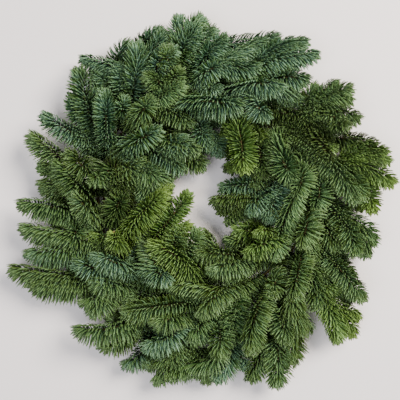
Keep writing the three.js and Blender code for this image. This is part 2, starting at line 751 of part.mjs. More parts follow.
const draw = draws(20241);
const most = Math.max(...outlines.map((o) => o.whorlAt.length));
for (let back = 1; back <= most; back++) {
  for (const made of outlines) {
    const index = made.whorlAt.length - back;
    if (index >= 0) growWhorl(made, index, thicket, draw);
  }
}

const steel = new THREE.MeshStandardMaterial({ color: "#6d7068", roughness: 0.45, metalness: 0.9 });
const lacquer = new THREE.MeshStandardMaterial({ color: "#2f4a34", roughness: 0.4, metalness: 0.6 });
const foliage = Object.fromEntries(Object.entries(TONES).map(([tone, color]) => {
  return [tone, new THREE.MeshStandardMaterial({ color, roughness: 0.6, metalness: 0 })];
}));

const wreath = new THREE.Group();
function put(name, geometry, material) {
  const mesh = new THREE.Mesh(geometry, material);
  mesh.name = name;
  wreath.add(mesh);
}

put("wire_frame", geometryOf(frameSolid()), steel);
put("binding_wire", wireGeometry(path), lacquer);
for (const { name, tone, shoots: own } of sprays) {
  let solid = null;
  for (const shoot of own) {
    const grown = solidOf(shootGeometry(outlines[shoot.number]));
    solid = solid ? solid.add(grown) : grown;
  }
  put(name, geometryOf(solid), foliage[tone]);
}

// The origin is at the middle of the wreath's outline, on the surface that it lies on.
const box = new THREE.Box3().setFromObject(wreath);
const middle = box.getCenter(new THREE.Vector3());
wreath.position.set(-middle.x, -middle.y, -box.min.z);

export default wreath;
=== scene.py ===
import json
import math
import random
from itertools import combinations, product

import bpy
import numpy as np
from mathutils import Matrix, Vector

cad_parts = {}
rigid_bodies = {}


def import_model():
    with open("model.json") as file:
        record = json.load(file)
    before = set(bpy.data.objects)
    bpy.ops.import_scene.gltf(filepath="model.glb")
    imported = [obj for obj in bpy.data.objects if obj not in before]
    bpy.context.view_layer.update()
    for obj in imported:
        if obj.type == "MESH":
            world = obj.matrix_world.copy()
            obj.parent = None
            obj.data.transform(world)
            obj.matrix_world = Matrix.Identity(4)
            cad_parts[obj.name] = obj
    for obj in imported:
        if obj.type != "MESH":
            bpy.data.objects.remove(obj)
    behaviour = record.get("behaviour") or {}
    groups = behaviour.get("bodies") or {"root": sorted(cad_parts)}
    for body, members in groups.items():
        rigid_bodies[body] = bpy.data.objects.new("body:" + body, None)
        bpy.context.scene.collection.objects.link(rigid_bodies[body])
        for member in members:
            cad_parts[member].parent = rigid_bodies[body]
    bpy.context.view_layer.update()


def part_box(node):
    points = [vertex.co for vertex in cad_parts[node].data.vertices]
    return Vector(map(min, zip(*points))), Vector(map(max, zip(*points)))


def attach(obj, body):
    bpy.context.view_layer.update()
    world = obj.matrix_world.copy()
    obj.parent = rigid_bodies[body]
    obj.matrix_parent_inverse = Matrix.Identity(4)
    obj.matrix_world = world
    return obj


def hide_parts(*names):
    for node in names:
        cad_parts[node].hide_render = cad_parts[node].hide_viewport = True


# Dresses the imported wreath: a wire frame, its binding wire, and 57 sprays of noble fir in full needle.
# Lengths are in millimetres on the wreath's own plan until a mesh is made, then in metres. The plan's
# origin is the middle of the wire frame, x points to 3 o'clock, y to 12 o'clock and z to the viewer.

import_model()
MM = 0.001
RING_MIDDLE = [(low + high) / 2 for low, high in zip(*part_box("wire_frame"))][:2]


def to_metres(points):
    """Plan millimetres to metres in the part's own frame."""
    placed = np.asarray(points, dtype=float) * MM
    placed[:, :2] += RING_MIDDLE
    return placed


# ---- camera

GRID = 1.42  # millimetres to one of the photograph's 400 steps across
GRID_CENTRE = (202, 199)
PHOTO_STEPS = 400
FOCAL = 60.0  # of the lens
SENSOR = 36.0  # width
MIDDLE_HEIGHT = 38.0  # of the foliage, where the scale holds


def add_camera():
    data = bpy.data.cameras.new("camera")
    data.lens = FOCAL
    data.sensor_width = SENSOR
    camera = bpy.data.objects.new("camera", data)
    bpy.context.scene.collection.objects.link(camera)
    distance = PHOTO_STEPS * GRID * FOCAL / SENSOR + MIDDLE_HEIGHT
    half = PHOTO_STEPS / 2
    x = (half - GRID_CENTRE[0]) * GRID
    y = (GRID_CENTRE[1] - half) * GRID
    camera.location = Vector(to_metres([(x, y, distance)])[0])
    bpy.context.scene.camera = camera


add_camera()

# ---- materials


def linear(hex_colour):
    """An sRGB hex value as linear red, green, blue and alpha."""
    parts = [int(hex_colour[i:i + 2], 16) / 255 for i in (1, 3, 5)]
    return [p / 12.92 if p <= 0.04045 else ((p + 0.055) / 1.055) ** 2.4 for p in parts] + [1.0]


def set_inputs(node, values):
    for socket, value in values.items():
        node.inputs[socket].default_value = value


def add_node(tree, kind, links=(), inputs=None, **settings):
    """Adds a node with its settings and inputs, and links (input, source node, output)."""
    node = tree.nodes.new(kind)
    for key, value in settings.items():
        setattr(node, key, value)
    set_inputs(node, inputs or {})
    for socket, source, output in links:
        tree.links.new(source.outputs[output], node.inputs[socket])
    return node


def new_material(name, values):
    material = bpy.data.materials.new(name)
    material.use_nodes = True
    surface = material.node_tree.nodes["Principled BSDF"]
    set_inputs(surface, values)
    return material, material.node_tree, surface


def mottled(name, dark, light, values, grain, detail=2.0):
    """A material whose colour runs from dark to light, in grains of a size in millimetres."""
    material, tree, surface = new_material(name, values)
    place = [("Vector", add_node(tree, "ShaderNodeTexCoord"), "Object")]
    noise = add_node(tree, "ShaderNodeTexNoise", place, {"Scale": 1 / (grain * MM), "Detail": detail})
    ends = {6: linear(dark), 7: linear(light)}
    colour = add_node(tree, "ShaderNodeMix", [("Factor", noise, "Fac")], ends, data_type="RGBA")
    tree.links.new(colour.outputs[2], surface.inputs["Base Color"])
    return material, tree, surface, noise


# Fir leaf: a waxy needle, dark green, with a grey-blue bloom of wax on the blue sprays. Each needle has its
# own shade, and painted shade at its foot. Needles deep in the foliage get painted shade and are the darkest;
# those at the end of a shoot are the youngest and yellowest, and each needle is painted yellower towards its
# tip, as painted light through the tip. Each shoot leans a little to a warm or a cool green.
NEEDLE_TONES = {
    "blue": dict(shaded="#10230d", body="#315a38", light="#84ab93", young="#7a9550", warm="#3e6029"),
    "green": dict(shaded="#0e1e0a", body="#2e5326", light="#799e6f", young="#7d954d", warm="#3e5316"),
    "lime": dict(shaded="#101e05", body="#3b6023", light="#83a669", young="#8fac4c", warm="#46601a"),
    # The olive tone is a dark olive green, partly real tone and partly painted shade: it is given to many of
    # the sprigs seen low in the gaps.
    "olive": dict(shaded="#0a1404", body="#243e16", light="#567645", young="#697c3b", warm="#313e12"),
}


def needle_material(tone):
    values = {"Roughness": 0.33, "IOR": 1.45, "Specular IOR Level": 0.6}
    material, tree, surface = new_material(f"noble_fir_needle_{tone}", values)
    colours = {k: linear(v) for k, v in NEEDLE_TONES[tone].items()}
    leaf = add_node(tree, "ShaderNodeAttribute", attribute_name="leaf")
    parts = add_node(tree, "ShaderNodeSeparateXYZ", [("Vector", leaf, "Vector")])
    cast = add_node(tree, "ShaderNodeAttribute", attribute_name="cast")
    ends = {6: colours["warm"], 7: colours["body"]}
    warmth = add_node(tree, "ShaderNodeMix", [("Factor", cast, "Fac")], ends, data_type="RGBA")
    links = [("Factor", parts, "X"), (6, warmth, 2)]
    own = add_node(tree, "ShaderNodeMix", links, {7: colours["light"]}, data_type="RGBA")
    # Painted light: each needle is yellower towards its tip, as light coming through the tip; young shoot
    # ends are yellower as well.
    tip = add_node(tree, "ShaderNodeMapRange", [("Value", parts, "Y")], {"From Min": 0.5, "To Max": 0.5})
    green = add_node(tree, "ShaderNodeMath", [(0, tip, "Result"), (1, parts, "Z")], operation="MAXIMUM")
    links = [("Factor", green, "Value"), (6, own, 2)]
    young = add_node(tree, "ShaderNodeMix", links, {7: colours["young"]}, data_type="RGBA")
    # Painted shade: each needle is darker at its foot, where the needles crowd on the shoot.
    foot_shade = add_node(tree, "ShaderNodeMapRange", [("Value", parts, "Y")], {"From Max": 0.3, "To Min": 0.65})
    # Painted shade: needles deep in the foliage and in the darker rows have a low shade value and go towards
    # the shaded colour; the needle's own random shade joins in.
    depth = {"From Min": -0.8, "From Max": 0.2, "To Min": 0.25}
    tone_and_shade = add_node(tree, "ShaderNodeMapRange", [("Value", parts, "X")], depth)
    # Painted shade at the foot and deep in the foliage mixes each needle towards the shaded colour.
    lit = add_node(tree, "ShaderNodeMath", [(0, foot_shade, "Result"), (1, tone_and_shade, "Result")], operation="MULTIPLY")
    links = [("Factor", lit, "Value"), (7, young, 2)]
    colour = add_node(tree, "ShaderNodeMix", links, {6: colours["shaded"]}, data_type="RGBA")
    tree.links.new(colour.outputs[2], surface.inputs["Base Color"])
    return material


NEEDLE_MATERIALS = {tone: needle_material(tone) for tone in NEEDLE_TONES}


# Twig bark: thin, olive to yellow-brown on this year's growth, with a fine rough grain.
def bark_material():
    values = {"Roughness": 0.75}
    material, tree, surface, noise = mottled(
        "fir_twig_bark", "#3f3518", "#75602f", values, grain=2.4, detail=3.0)
    ridge = {"Strength": 0.5, "Distance": 0.4 * MM}
    bump = add_node(tree, "ShaderNodeBump", [("Height", noise, "Fac")], ridge)
    tree.links.new(bump.outputs["Normal"], surface.inputs["Normal"])
    return material


# Bud scales: sticky with resin, yellow-brown, with a soft gloss.
def bud_material():
    return mottled("resinous_fir_bud", "#5c4a22", "#8d8440", {"Roughness": 0.35}, grain=1.7)[0]


# Cut wood: pale end grain where the pruner went through.
def cut_wood_material():
    return mottled("fresh_cut_fir_wood", "#b99a66", "#dcc596", {"Roughness": 0.8}, grain=1.1)[0]


# Galvanised steel wire: zinc coat gone dull, mottled grey.
def steel_material():
    values = {"Metallic": 1.0}
    material, tree, surface, noise = mottled(
        "dull_galvanised_steel", "#6a6d69", "#a3a6a0", values, grain=6.0, detail=4.0)
    dull = {"To Min": 0.35, "To Max": 0.6}
    rough = add_node(tree, "ShaderNodeMapRange", [("Value", noise, "Fac")], dull)
    tree.links.new(rough.outputs["Result"], surface.inputs["Roughness"])
    return material


# Lacquered florist's wire: thin green lacquer on steel, glossy, paler where it is worn.
def lacquer_material():
    values = {"Roughness": 0.38}
    return mottled("green_lacquered_wire", "#1f3b27", "#3d5f45", values, grain=4.0, detail=3.0)[0]


# Matt wall paint: off-white and a little warm, without gloss.
def paint_material():
    return new_material("matt_white_paint", {"Base Color": linear("#fdf4f1"), "Roughness": 0.85})[0]


WOODY_MATERIALS = [bark_material(), bud_material(), cut_wood_material()]

# ---- layout of the sprays

SPRAY_BARE = 28.0  # of a spray's foot, stripped of needles to be tied
TWIG_BARE = 5.0  # of a side shoot
RING_RADIUS = 152.0  # middle of a 12 inch wreath frame
HOOP_OFFSET = 11.0  # each hoop from the middle of the frame
HOOP_HALF = 1.6  # half the thickness of the frame wire
WIRE = 1.0  # thickness of the binding wire
GAP = 0.3  # between pieces that touch
STEM_HEIGHT = 4.4  # thickness of a cut stem where it is tied
LANES = dict(inner=-8.0, middle=0.0, outer=8.0)  # of stems, from the middle of the frame
FRAME_Z = WIRE + GAP + HOOP_HALF
STEM_RADIUS = STEM_HEIGHT / 1.5  # of the circle round the solids' three-sided stem
STEM_Z = FRAME_Z + HOOP_HALF + GAP + STEM_RADIUS / 2
WIRE_TOP_Z = STEM_Z + STEM_RADIUS + GAP + WIRE / 2


# The inner, middle and outer spray of each bunch, clockwise from 12 o'clock: tone, layer, heel, tip, and then
# its side shoots: start, as a share of the spray, layer, heel, tip. A shoot's last stretch is straight, from
# heel to tip, on a grid of GRID millimetres, x to the right and y down. Layer 0 is the lowest, 3 the top.
SPRAYS = (
    ("lime", 2.6, (240, 125), (244, 175), (0.6, 1.6, (234, 150), (235, 175))),
    ("blue", 2.6, (238, 86), (283, 93), (0.4, 2.4, (242, 100), (268, 124))),
    ("blue", 2.2, (255, 62), (321, 58), (0.35, 1.4, (262, 50), (312, 43))),

    ("olive", 1.6, (256, 130), (262, 180)),
    ("olive", 0.8, (290, 108), (333, 145), (0.5, 0.6, (290, 120), (300, 148))),
    ("blue", 1.8, (262, 74), (311, 84), (0.5, 1.2, (282, 86), (300, 96))),

    ("green", 2.4, (270, 142), (291, 185)),
    ("green", 2.2, (325, 152), (353, 206)),
    ("green", 1.6, (315, 105), (362, 123), (0.45, 1.8, (320, 98), (355, 90)),
     (0.5, 2.2, (318, 114), (346, 128))),

    ("blue", 1.6, (280, 175), (270, 225)),
    ("green", 2.6, (308, 168), (292, 200), (0.4, 1.8, (328, 178), (312, 214))),
    ("lime", 1.4, (358, 160), (396, 187), (0.45, 1.0, (350, 142), (392, 156)),
     (0.6, 1.0, (366, 180), (374, 216))),

    ("olive", 1.8, (248, 200), (208, 204), (0.6, 1.2, (245, 210), (225, 227))),
    ("green", 2.4, (308, 215), (300, 249), (0.35, 1.4, (328, 222), (335, 255))),
    ("green", 1.8, (345, 212), (354, 259), (0.5, 1.2, (358, 225), (366, 261)),
     (0.5, 0.6, (365, 215), (374, 250))),

    ("lime", 2.6, (276, 241), (242, 256), (0.55, 2.8, (272, 228), (249, 238))),
    ("green", 2.4, (302, 258), (290, 301), (0.5, 1.4, (318, 280), (313, 312))),
    ("green", 2.0, (332, 258), (364, 304), (0.45, 0.5, (345, 262), (357, 284))),

    ("green", 1.8, (255, 257), (192, 256), (0.5, 1.0, (245, 248), (220, 240))),
    ("green", 2.8, (256, 280), (250, 352)),
    ("lime", 1.6, (340, 300), (335, 346), (0.5, 1.0, (350, 310), (362, 325))),

    ("green", 2.4, (225, 282), (199, 318)),
    ("green", 2.2, (273, 300), (286, 345)),
    ("green", 1.4, (285, 330), (274, 390), (0.45, 1.0, (266, 352), (249, 384)),
     (0.4, 0.8, (312, 310), (303, 340))),

    ("green", 1.6, (185, 303), (120, 313)),
    ("green", 2.2, (219, 322), (221, 359)),
    ("blue", 1.2, (242, 350), (213, 383)),

    ("lime", 2.4, (205, 268), (147, 243)),
    ("blue", 2.2, (195, 338), (141, 347)),
    ("green", 1.2, (195, 358), (152, 386), (0.4, 0.8, (209, 360), (204, 388))),

    ("green", 1.4, (196, 256), (199, 227)),
    ("green", 2.0, (145, 340), (73, 331), (0.5, 1.0, (140, 348), (96, 350))),
    ("blue", 0.8, (160, 362), (121, 367)),

    ("lime", 1.8, (168, 228), (191, 190), (0.4, 1.2, (175, 240), (192, 224))),
    ("blue", 2.6, (135, 268), (90, 256), (0.3, 2.8, (140, 262), (174, 283))),
    ("green", 1.4, (80, 287), (6, 271), (0.3, 1.2, (118, 303), (78, 305))),

    ("lime", 2.4, (130, 228), (169, 191), (0.2, 2.6, (120, 258), (114, 226))),
    ("green", 1.4, (68, 243), (18, 229)),
    ("blue", 1.6, (80, 258), (22, 256)),

    ("olive", 1.4, (116, 215), (124, 188)),
    ("green", 2.0, (84, 196), (52, 162), (0.4, 0.6, (65, 198), (36, 190))),
    ("green", 2.2, (75, 212), (17, 206), (0.35, 2.2, (80, 222), (67, 250))),

    ("green", 1.8, (125, 180), (148, 162), (0.45, 2.6, (112, 170), (90, 188))),
    ("green", 2.2, (90, 172), (64, 153)),
    ("green", 1.6, (65, 168), (27, 134), (0.4, 0.8, (62, 182), (36, 165))),

    ("blue", 3.0, (120, 155), (165, 132), (0.35, 1.6, (135, 168), (157, 174)),
     (0.55, 1.4, (160, 160), (184, 173))),
    ("blue", 2.6, (108, 135), (107, 90)),
    ("blue", 1.8, (84, 120), (78, 66), (0.3, 1.6, (78, 145), (39, 115))),

    ("green", 2.0, (160, 148), (199, 153), (0.5, 1.0, (180, 158), (207, 168))),
    ("green", 2.4, (150, 106), (188, 87), (0.7, 2.6, (168, 88), (141, 80))),
    ("blue", 1.8, (142, 75), (137, 42), (0.3, 1.4, (122, 95), (117, 62)), (0.45, 1.0, (112, 68), (76, 60)),
     (0.3, 0.2, (120, 55), (165, 25))),

    ("blue", 2.8, (195, 106), (242, 113), (0.3, 1.2, (165, 122), (187, 122))),
    ("blue", 2.4, (148, 66), (182, 52)),
    ("blue", 1.4, (172, 52), (205, 16), (0.5, 1.2, (176, 32), (180, 11)),
     (0.3, 1.8, (184, 62), (203, 24))),

    ("blue", 1.2, (195, 140), (215, 146), (0.6, 0.8, (213, 148), (222, 160))),
    ("blue", 2.2, (198, 76), (231, 68), (0.4, 1.4, (195, 90), (225, 92)),
     (0.2, 2.4, (178, 90), (180, 70))),
    ("blue", 1.8, (202, 60), (230, 37), (0.4, 1.6, (195, 46), (219, 27))),
)
BUNCHES = len(SPRAYS) // len(LANES)

# Smaller sprigs seen between the sprays, which the solids don't have: tone, layer, heel, tip, and for some of
# them the spray that they grow from and their bare stretch.
DEEP_SPRIGS = (
    ("olive", 0.6, (118, 92), (86, 72)), ("blue", 1.0, (150, 62), (168, 28)),
    ("olive", 0.4, (100, 115), (93, 80)), ("green", 1.8, (130, 128), (158, 100)),
    ("lime", 1.6, (122, 118), (128, 94)), ("green", 1.6, (160, 112), (195, 128)),
    ("olive", 0.8, (135, 178), (165, 188)), ("green", 1.0, (72, 188), (33, 184)),
    ("green", 1.4, (165, 100), (185, 70)), ("blue", 1.6, (228, 62), (258, 50)),
    ("blue", 2.0, (235, 75), (262, 70)), ("olive", 0.4, (262, 112), (290, 100)),
    ("olive", 0.6, (300, 118), (330, 165)), ("green", 1.6, (322, 165), (338, 195)),
    ("blue", 2.2, (92, 222), (72, 192)), ("olive", 0.5, (110, 250), (85, 235)),
    ("green", 1.2, (172, 248), (180, 222)), ("blue", 2.0, (110, 275), (72, 262)),
    ("green", 1.6, (125, 292), (88, 282)), ("olive", 1.0, (200, 290), (165, 290)),
    ("blue", 2.0, (200, 318), (150, 322)), ("olive", 0.6, (190, 352), (160, 372)),
    ("blue", 2.0, (262, 195), (248, 218)), ("green", 1.6, (285, 222), (272, 262)),
    ("blue", 2.2, (250, 265), (205, 272)), ("green", 1.6, (240, 300), (228, 345)),
    ("green", 2.0, (280, 262), (270, 298)), ("green", 1.6, (292, 300), (300, 338)),
    ("olive", 0.8, (322, 280), (328, 318)), ("blue", 1.6, (212, 318), (190, 345)),
    ("green", 1.0, (150, 190), (172, 205)), ("olive", 0.6, (140, 215), (158, 232)),
    ("green", 1.2, (128, 140), (152, 152)), ("olive", 0.6, (85, 150), (66, 128)),
    ("green", 0.8, (298, 322), (292, 368)), ("green", 1.0, (84, 296), (26, 286)),
    ("green", 0.8, (192, 366), (164, 381)), ("blue", 1.2, (76, 122), (70, 90)),
    ("lime", 1.0, (346, 312), (354, 342)), ("olive", 0.6, (168, 364), (140, 371)),
    ("blue", 0.8, (240, 358), (246, 376)), ("green", 0.6, (212, 362), (208, 382)),
    ("olive", 0.8, (96, 236), (84, 222)), ("olive", 0.8, (100, 170), (84, 160)),
    ("olive", 0.6, (140, 300), (122, 300)), ("green", 1.2, (208, 262), (216, 246)),
    ("olive", 0.5, (205, 135), (222, 140)), ("olive", 1.0, (266, 165), (254, 190)),
    ("blue", 0.8, (262, 184), (217, 190)), ("green", 0.6, (256, 158), (223, 172)),
    ("blue", 1.0, (272, 205), (250, 216)), ("green", 1.0, (214, 252), (199, 230)),
    ("blue", 1.0, (112, 298), (88, 318)), ("blue", 1.0, (260, 232), (230, 233)),
    ("olive", 0.4, (284, 96), (306, 104)), ("blue", 0.6, (200, 128), (222, 148)),
    ("olive", 0.6, (64, 176), (34, 167)), ("lime", 1.0, (158, 204), (170, 182)),
    ("green", 1.2, (236, 208), (214, 213)), ("green", 0.9, (350, 138), (381, 148)),
    ("olive", 0.4, (120, 210), (136, 194)), ("olive", 0.4, (150, 258), (138, 238)),
    ("olive", 0.4, (205, 78), (232, 80)), ("green", 1.4, (318, 93), (344, 84), "03_outer"),
    ("green", 3.4, (304, 110), (323, 128), "03_outer", 34.0),
    ("lime", 0.8, (370, 152), (396, 166), "04_outer"),
    ("blue", 1.6, (257, 55), (300, 44), "01_outer"), ("green", 1.4, (350, 165), (362, 205), "03_middle"),
    ("blue", 1.4, (236, 56), (272, 42), "19_middle"), ("olive", 0.3, (103, 63), (132, 38), "17_outer"),
    ("blue", 0.9, (240, 50), (282, 38), "19_outer"), ("green", 0.8, (308, 102), (322, 82), "03_outer"),
    ("green", 1.2, (325, 98), (356, 104), "03_outer"),
)

# ---- plan of a shoot

TAU = 2 * math.pi
LOWEST_LAYER = 15.0  # height of layer 0
DOME, DOME_REACH = 52.0, 165.0  # of layer 3 over it on the ring, and how far off the ring it has none
STEP = 7.0  # between the points of a shoot, about
FOLIAGE_PAST_SHOOT = 9.0
LEAD_SHARE, LONGEST_LEAD = 0.6, 45.0  # of a shoot, in the direction that it starts in
TIE_HALF = 10.0  # of stem, each side of its turn of wire
TIED_HOLD = 0.2  # share of its climb below which a stem counts as tied
TIED_LOW = 1000.0  # weight of a tied stem, which lies below whatever crosses it
RISE_SHARE = 0.82  # of a shoot's free length, in which it climbs to its layer
SHOOT_SPACING = 7.5  # between the middles of two shoots that cross
WIRE_SPACING = 4.5  # between the middles of a shoot and a turn of wire
LOWEST_SHOOT = 9.0
ROUNDS, LAST_ROUNDS = 300, 30  # of settling, and the last of them, in which nothing springs back
LOW_ROUNDS = 80  # of settling the smaller shoots among the others
HIGHEST_SPRIG = 64.0  # of the smaller shoots, so that their needles keep to the part's size
LEAST_GIVE = 0.02  # share of its climb below which a shoot stays
STIFFNESS = 0.12
RETURN = 0.01
WIRE_TURN = 0.035  # radians round the frame, from the middle of a turn of wire to each end
OVER_SHARE, DOWN_SHARE = 0.4, 0.5  # of that, to where the wire starts to bend down, and where it has
WIRE_CORNER = 1.8  # cut off there
CROSSING_PARTS = 12
HOOP_ROUND = HOOP_HALF / math.sin(0.4 * math.pi)  # of the circle round the solids' five-sided hoop wire
WIRE_SIDE = HOOP_OFFSET + HOOP_ROUND + GAP + WIRE / 2


def lerp(a, b, t):
    return a + (b - a) * t


def clamp(value, low, high):
    return min(high, max(low, value))


def ease(t):
    return t * t * (3 - 2 * t)


def half_up(value):
    return math.floor(value + 0.5)


def on_plan(point):
    return ((point[0] - GRID_CENTRE[0]) * GRID, (GRID_CENTRE[1] - point[1]) * GRID)


def on_ring(angle, radius):
    return (radius * math.sin(angle), radius * math.cos(angle))


def bunch_angle(index):
    return index / BUNCHES * TAU


def layer_height(x, y, layer):
    off = (math.hypot(x, y) - RING_RADIUS) / DOME_REACH
    return LOWEST_LAYER + layer / 3 * DOME * (1 - off * off)


def bezier(p, t):
    u = 1 - t
    w = (u ** 3, 3 * u * u * t, 3 * u * t * t, t ** 3)
    return tuple(sum(w[j] * p[j][k] for j in range(4)) for k in (0, 1))


def reach(start, direction, heel, tip):
    """Points of a curve from start, leaving along direction, that reaches tip along heel to tip."""
    line = (tip[0] - heel[0], tip[1] - heel[1])
    length = math.hypot(*line)
    end = tuple(tip[k] - line[k] / length * FOLIAGE_PAST_SHOOT for k in (0, 1))
    to_heel = math.hypot(heel[0] - start[0], heel[1] - start[1])
    lead = min(LEAD_SHARE * to_heel, LONGEST_LEAD)
    controls = (start, tuple(start[k] + direction[k] * lead for k in (0, 1)), heel, end)
    steps = max(3, half_up((to_heel + length - FOLIAGE_PAST_SHOOT) / STEP))
    return [bezier(controls, i / steps) for i in range(steps + 1)]


def climb(points, held):
    """Each point's share of the climb from where the shoot is held, 0, to its layer, 1."""
    along = [0.0]
    for a, b in zip(points, points[1:]):
        along.append(along[-1] + math.hypot(b[0] - a[0], b[1] - a[1]))
    rise = RISE_SHARE * (along[-1] - held)
    return [ease(clamp((s - held) / rise, 0, 1)) for s in along]


class Shoot:
    """A woody shoot by its plan, its climb and, once settled, its heights."""

    def __init__(self, flat, layer, held, parent=None, at=0):
        self.flat, self.parent, self.at = flat, parent, at
        self.hold = climb(flat, held)
        self.target = [layer_height(x, y, layer) for x, y in flat]
        self.own = list(self.target)
        self.fixed = False
        self.bare = SPRAY_BARE if parent is None else TWIG_BARE
        self.foot_aside = self.aside = np.zeros(2)

    def height(self, i):
        held_at = STEM_Z if self.parent is None else self.parent.height(self.at)
        return lerp(held_at, self.own[i], self.hold[i])

    def place(self, i):
        """The shoot's point i, moved aside for its needles."""
        x, y = np.array(self.flat[i]) + self.moved(i)
        return (x, y, self.height(i))

    def moved(self, i):
        return lerp(self.foot_aside, self.aside, self.hold[i])

    def tied(self, i):
        return self.parent is None and self.hold[i] < TIED_HOLD

    def give(self, i):
        return 0.0 if self.fixed else self.hold[i]

    def relax(self):
        if self.fixed:
            return
        before = list(self.own)
        last = len(before) - 1
        for i, value in enumerate(before):
            bend = before[max(0, i - 1)] + before[min(last, i + 1)] - 2 * value
            value += STIFFNESS * bend + RETURN * (self.target[i] - value)
            self.own[i] = max(value, LOWEST_SHOOT)


def spray_shoot(index, lane, layer, heel, tip):
    radius = RING_RADIUS + LANES[lane]
    angle = bunch_angle(index)
    half = TIE_HALF / radius
    stem = [on_ring(a, radius) for a in (angle - half, angle, angle + half)]
    direction = (math.cos(angle + half), -math.sin(angle + half))
    free = reach(stem[2], direction, on_plan(heel), on_plan(tip))
    return Shoot(stem[:2] + free, layer, 2 * TIE_HALF)


def fork(parent, start):
    """The point of a spray's shoot where a side shoot starts."""
    count = len(parent.flat)
    return clamp(half_up(2 + start * (count - 3)), 3, count - 2)


def along_shoot(shoot, at):
    a, b = shoot.flat[at - 1], shoot.flat[at + 1]
    return (b[0] - a[0], b[1] - a[1])


def side_shoot(parent, at, layer, heel, tip):
    ahead = along_shoot(parent, at)
    direction = tuple(v / math.hypot(*ahead) for v in ahead)
    return Shoot(reach(parent.flat[at], direction, heel, tip), layer, 0.0, parent, at)


sprays = []


def all_shoots():
    return [shoot for made in sprays for shoot in made["shoots"]]


# ---- layers settle on each other


def crossings():
    """Pairs of points of two sprays that lie over each other: upper, lower, and the height they need."""
    found = []
    for one, other in combinations(sprays, 2):
        pairs, lift = [], 0.0
        for high, low in product(one["shoots"], other["shoots"]):
            for (i, (x, y)), (j, (u, v)) in product(enumerate(high.flat), enumerate(low.flat)):
                off = math.hypot(x - u, y - v)
                if off < SHOOT_SPACING:
                    pairs.append((high, i, low, j, math.sqrt(SHOOT_SPACING ** 2 - off ** 2)))
                    lift += high.height(i) - low.height(j)
                    lift += TIED_LOW * (low.tied(j) - high.tied(i))
        if lift < 0:
            pairs = [(low, j, high, i, need) for high, i, low, j, need in pairs]
        found += pairs
    return found


def wire_crossings():
    """Points of shoots that lie over a turn of wire, and the least height they need."""
    found = []
    side = WIRE_SIDE - WIRE_CORNER
    for k in range(BUNCHES):
        angle = bunch_angle(k)
        a = on_ring(angle - OVER_SHARE * WIRE_TURN, RING_RADIUS + side)
        b = on_ring(angle + OVER_SHARE * WIRE_TURN, RING_RADIUS - side)
        shares = [i / CROSSING_PARTS for i in range(CROSSING_PARTS + 1)]
        points = [(lerp(a[0], b[0], t), lerp(a[1], b[1], t)) for t in shares]
        for shoot in all_shoots():
            for i, (x, y) in enumerate(shoot.flat):
                for u, v in points:
                    off = math.hypot(x - u, y - v)
                    if off < WIRE_SPACING:
                        found.append((shoot, i, WIRE_TOP_Z + math.sqrt(WIRE_SPACING ** 2 - off ** 2)))
    return found


def settle(rounds):
    """Moves shoots up and down until those that cross are far enough apart."""
    near, wires = crossings(), wire_crossings()
    for round_number in range(rounds):
        for high, i, low, j, need in near:
            gap = high.height(i) - low.height(j) - need
            if gap >= 0:
                continue
            up, down = high.give(i), low.give(j)
            if up + down < LEAST_GIVE:
                continue
            high.own[i] -= gap * 0.5 * up / (up + down)
            low.own[j] += gap * 0.5 * down / (up + down)
        for shoot, i, least in wires:
            gap = shoot.height(i) - least
            if gap < 0 and shoot.give(i) > LEAST_GIVE:
                shoot.own[i] -= gap
        if round_number < rounds - LAST_ROUNDS:
            for shoot in all_shoots():
                shoot.relax()


# ---- meshes

LEAF_FINISH, BARK_FINISH, BUD_FINISH, CUT_FINISH = range(4)  # each material's number in a spray


class Batch:
    """Points, faces grouped by their number of corners, a finish, and the leaf and cast values."""

    def __init__(self, points, faces, finish, leaf=None):
        self.points = np.asarray(points, dtype=float).reshape(-1, 3)
        self.faces = [np.asarray(f, dtype=np.int64) for f in faces]
        self.finish = finish
        self.leaf = np.zeros((len(self.points), 4)) if leaf is None else np.asarray(leaf)


def make_piece(name, batches, materials):
    """One mesh object of all the batches. A batch's finish is the number of its material."""
    mesh = bpy.data.meshes.new(name)
    loops, sizes, finishes, offset = [], [], [], 0
    for batch in batches:
        for faces in batch.faces:
            loops.append((faces + offset).ravel())
            sizes.append(np.full(len(faces), faces.shape[1]))
            finishes.append(np.full(len(faces), batch.finish))
        offset += len(batch.points)
    loops, sizes, finishes = (np.concatenate(x) for x in (loops, sizes, finishes))
    points = to_metres(np.concatenate([b.points for b in batches]))
    mesh.vertices.add(len(points))
    mesh.vertices.foreach_set("co", points.ravel())
    mesh.loops.add(len(loops))
    mesh.loops.foreach_set("vertex_index", loops)
    mesh.polygons.add(len(sizes))
    mesh.polygons.foreach_set("loop_start", np.concatenate([[0], np.cumsum(sizes)[:-1]]))
    mesh.polygons.foreach_set("material_index", finishes)
    mesh.polygons.foreach_set("use_smooth", np.ones(len(sizes), dtype=bool))
    mesh.update(calc_edges=True)
    values = np.concatenate([b.leaf for b in batches])
    leaf = mesh.attributes.new("leaf", "FLOAT_VECTOR", "POINT")
    leaf.data.foreach_set("vector", values[:, :3].ravel())
    cast = mesh.attributes.new("cast", "FLOAT", "POINT")
    cast.data.foreach_set("value", values[:, 3])
    for material in materials:
        mesh.materials.append(material)
    piece = bpy.data.objects.new(name, mesh)
    bpy.context.scene.collection.objects.link(piece)
    return piece


def unit(vectors):
    return vectors / np.linalg.norm(vectors, axis=-1, keepdims=True)


def distances(points):
    """How far along a path each of its points is."""
    return np.concatenate([[0], np.cumsum(np.linalg.norm(np.diff(points, axis=0), axis=1))])


def values_at(wanted, along, values):
    """The rows that values, given at distances along a path, have at the wanted ones."""
    return np.stack([np.interp(wanted, along, column) for column in values.T], axis=1)


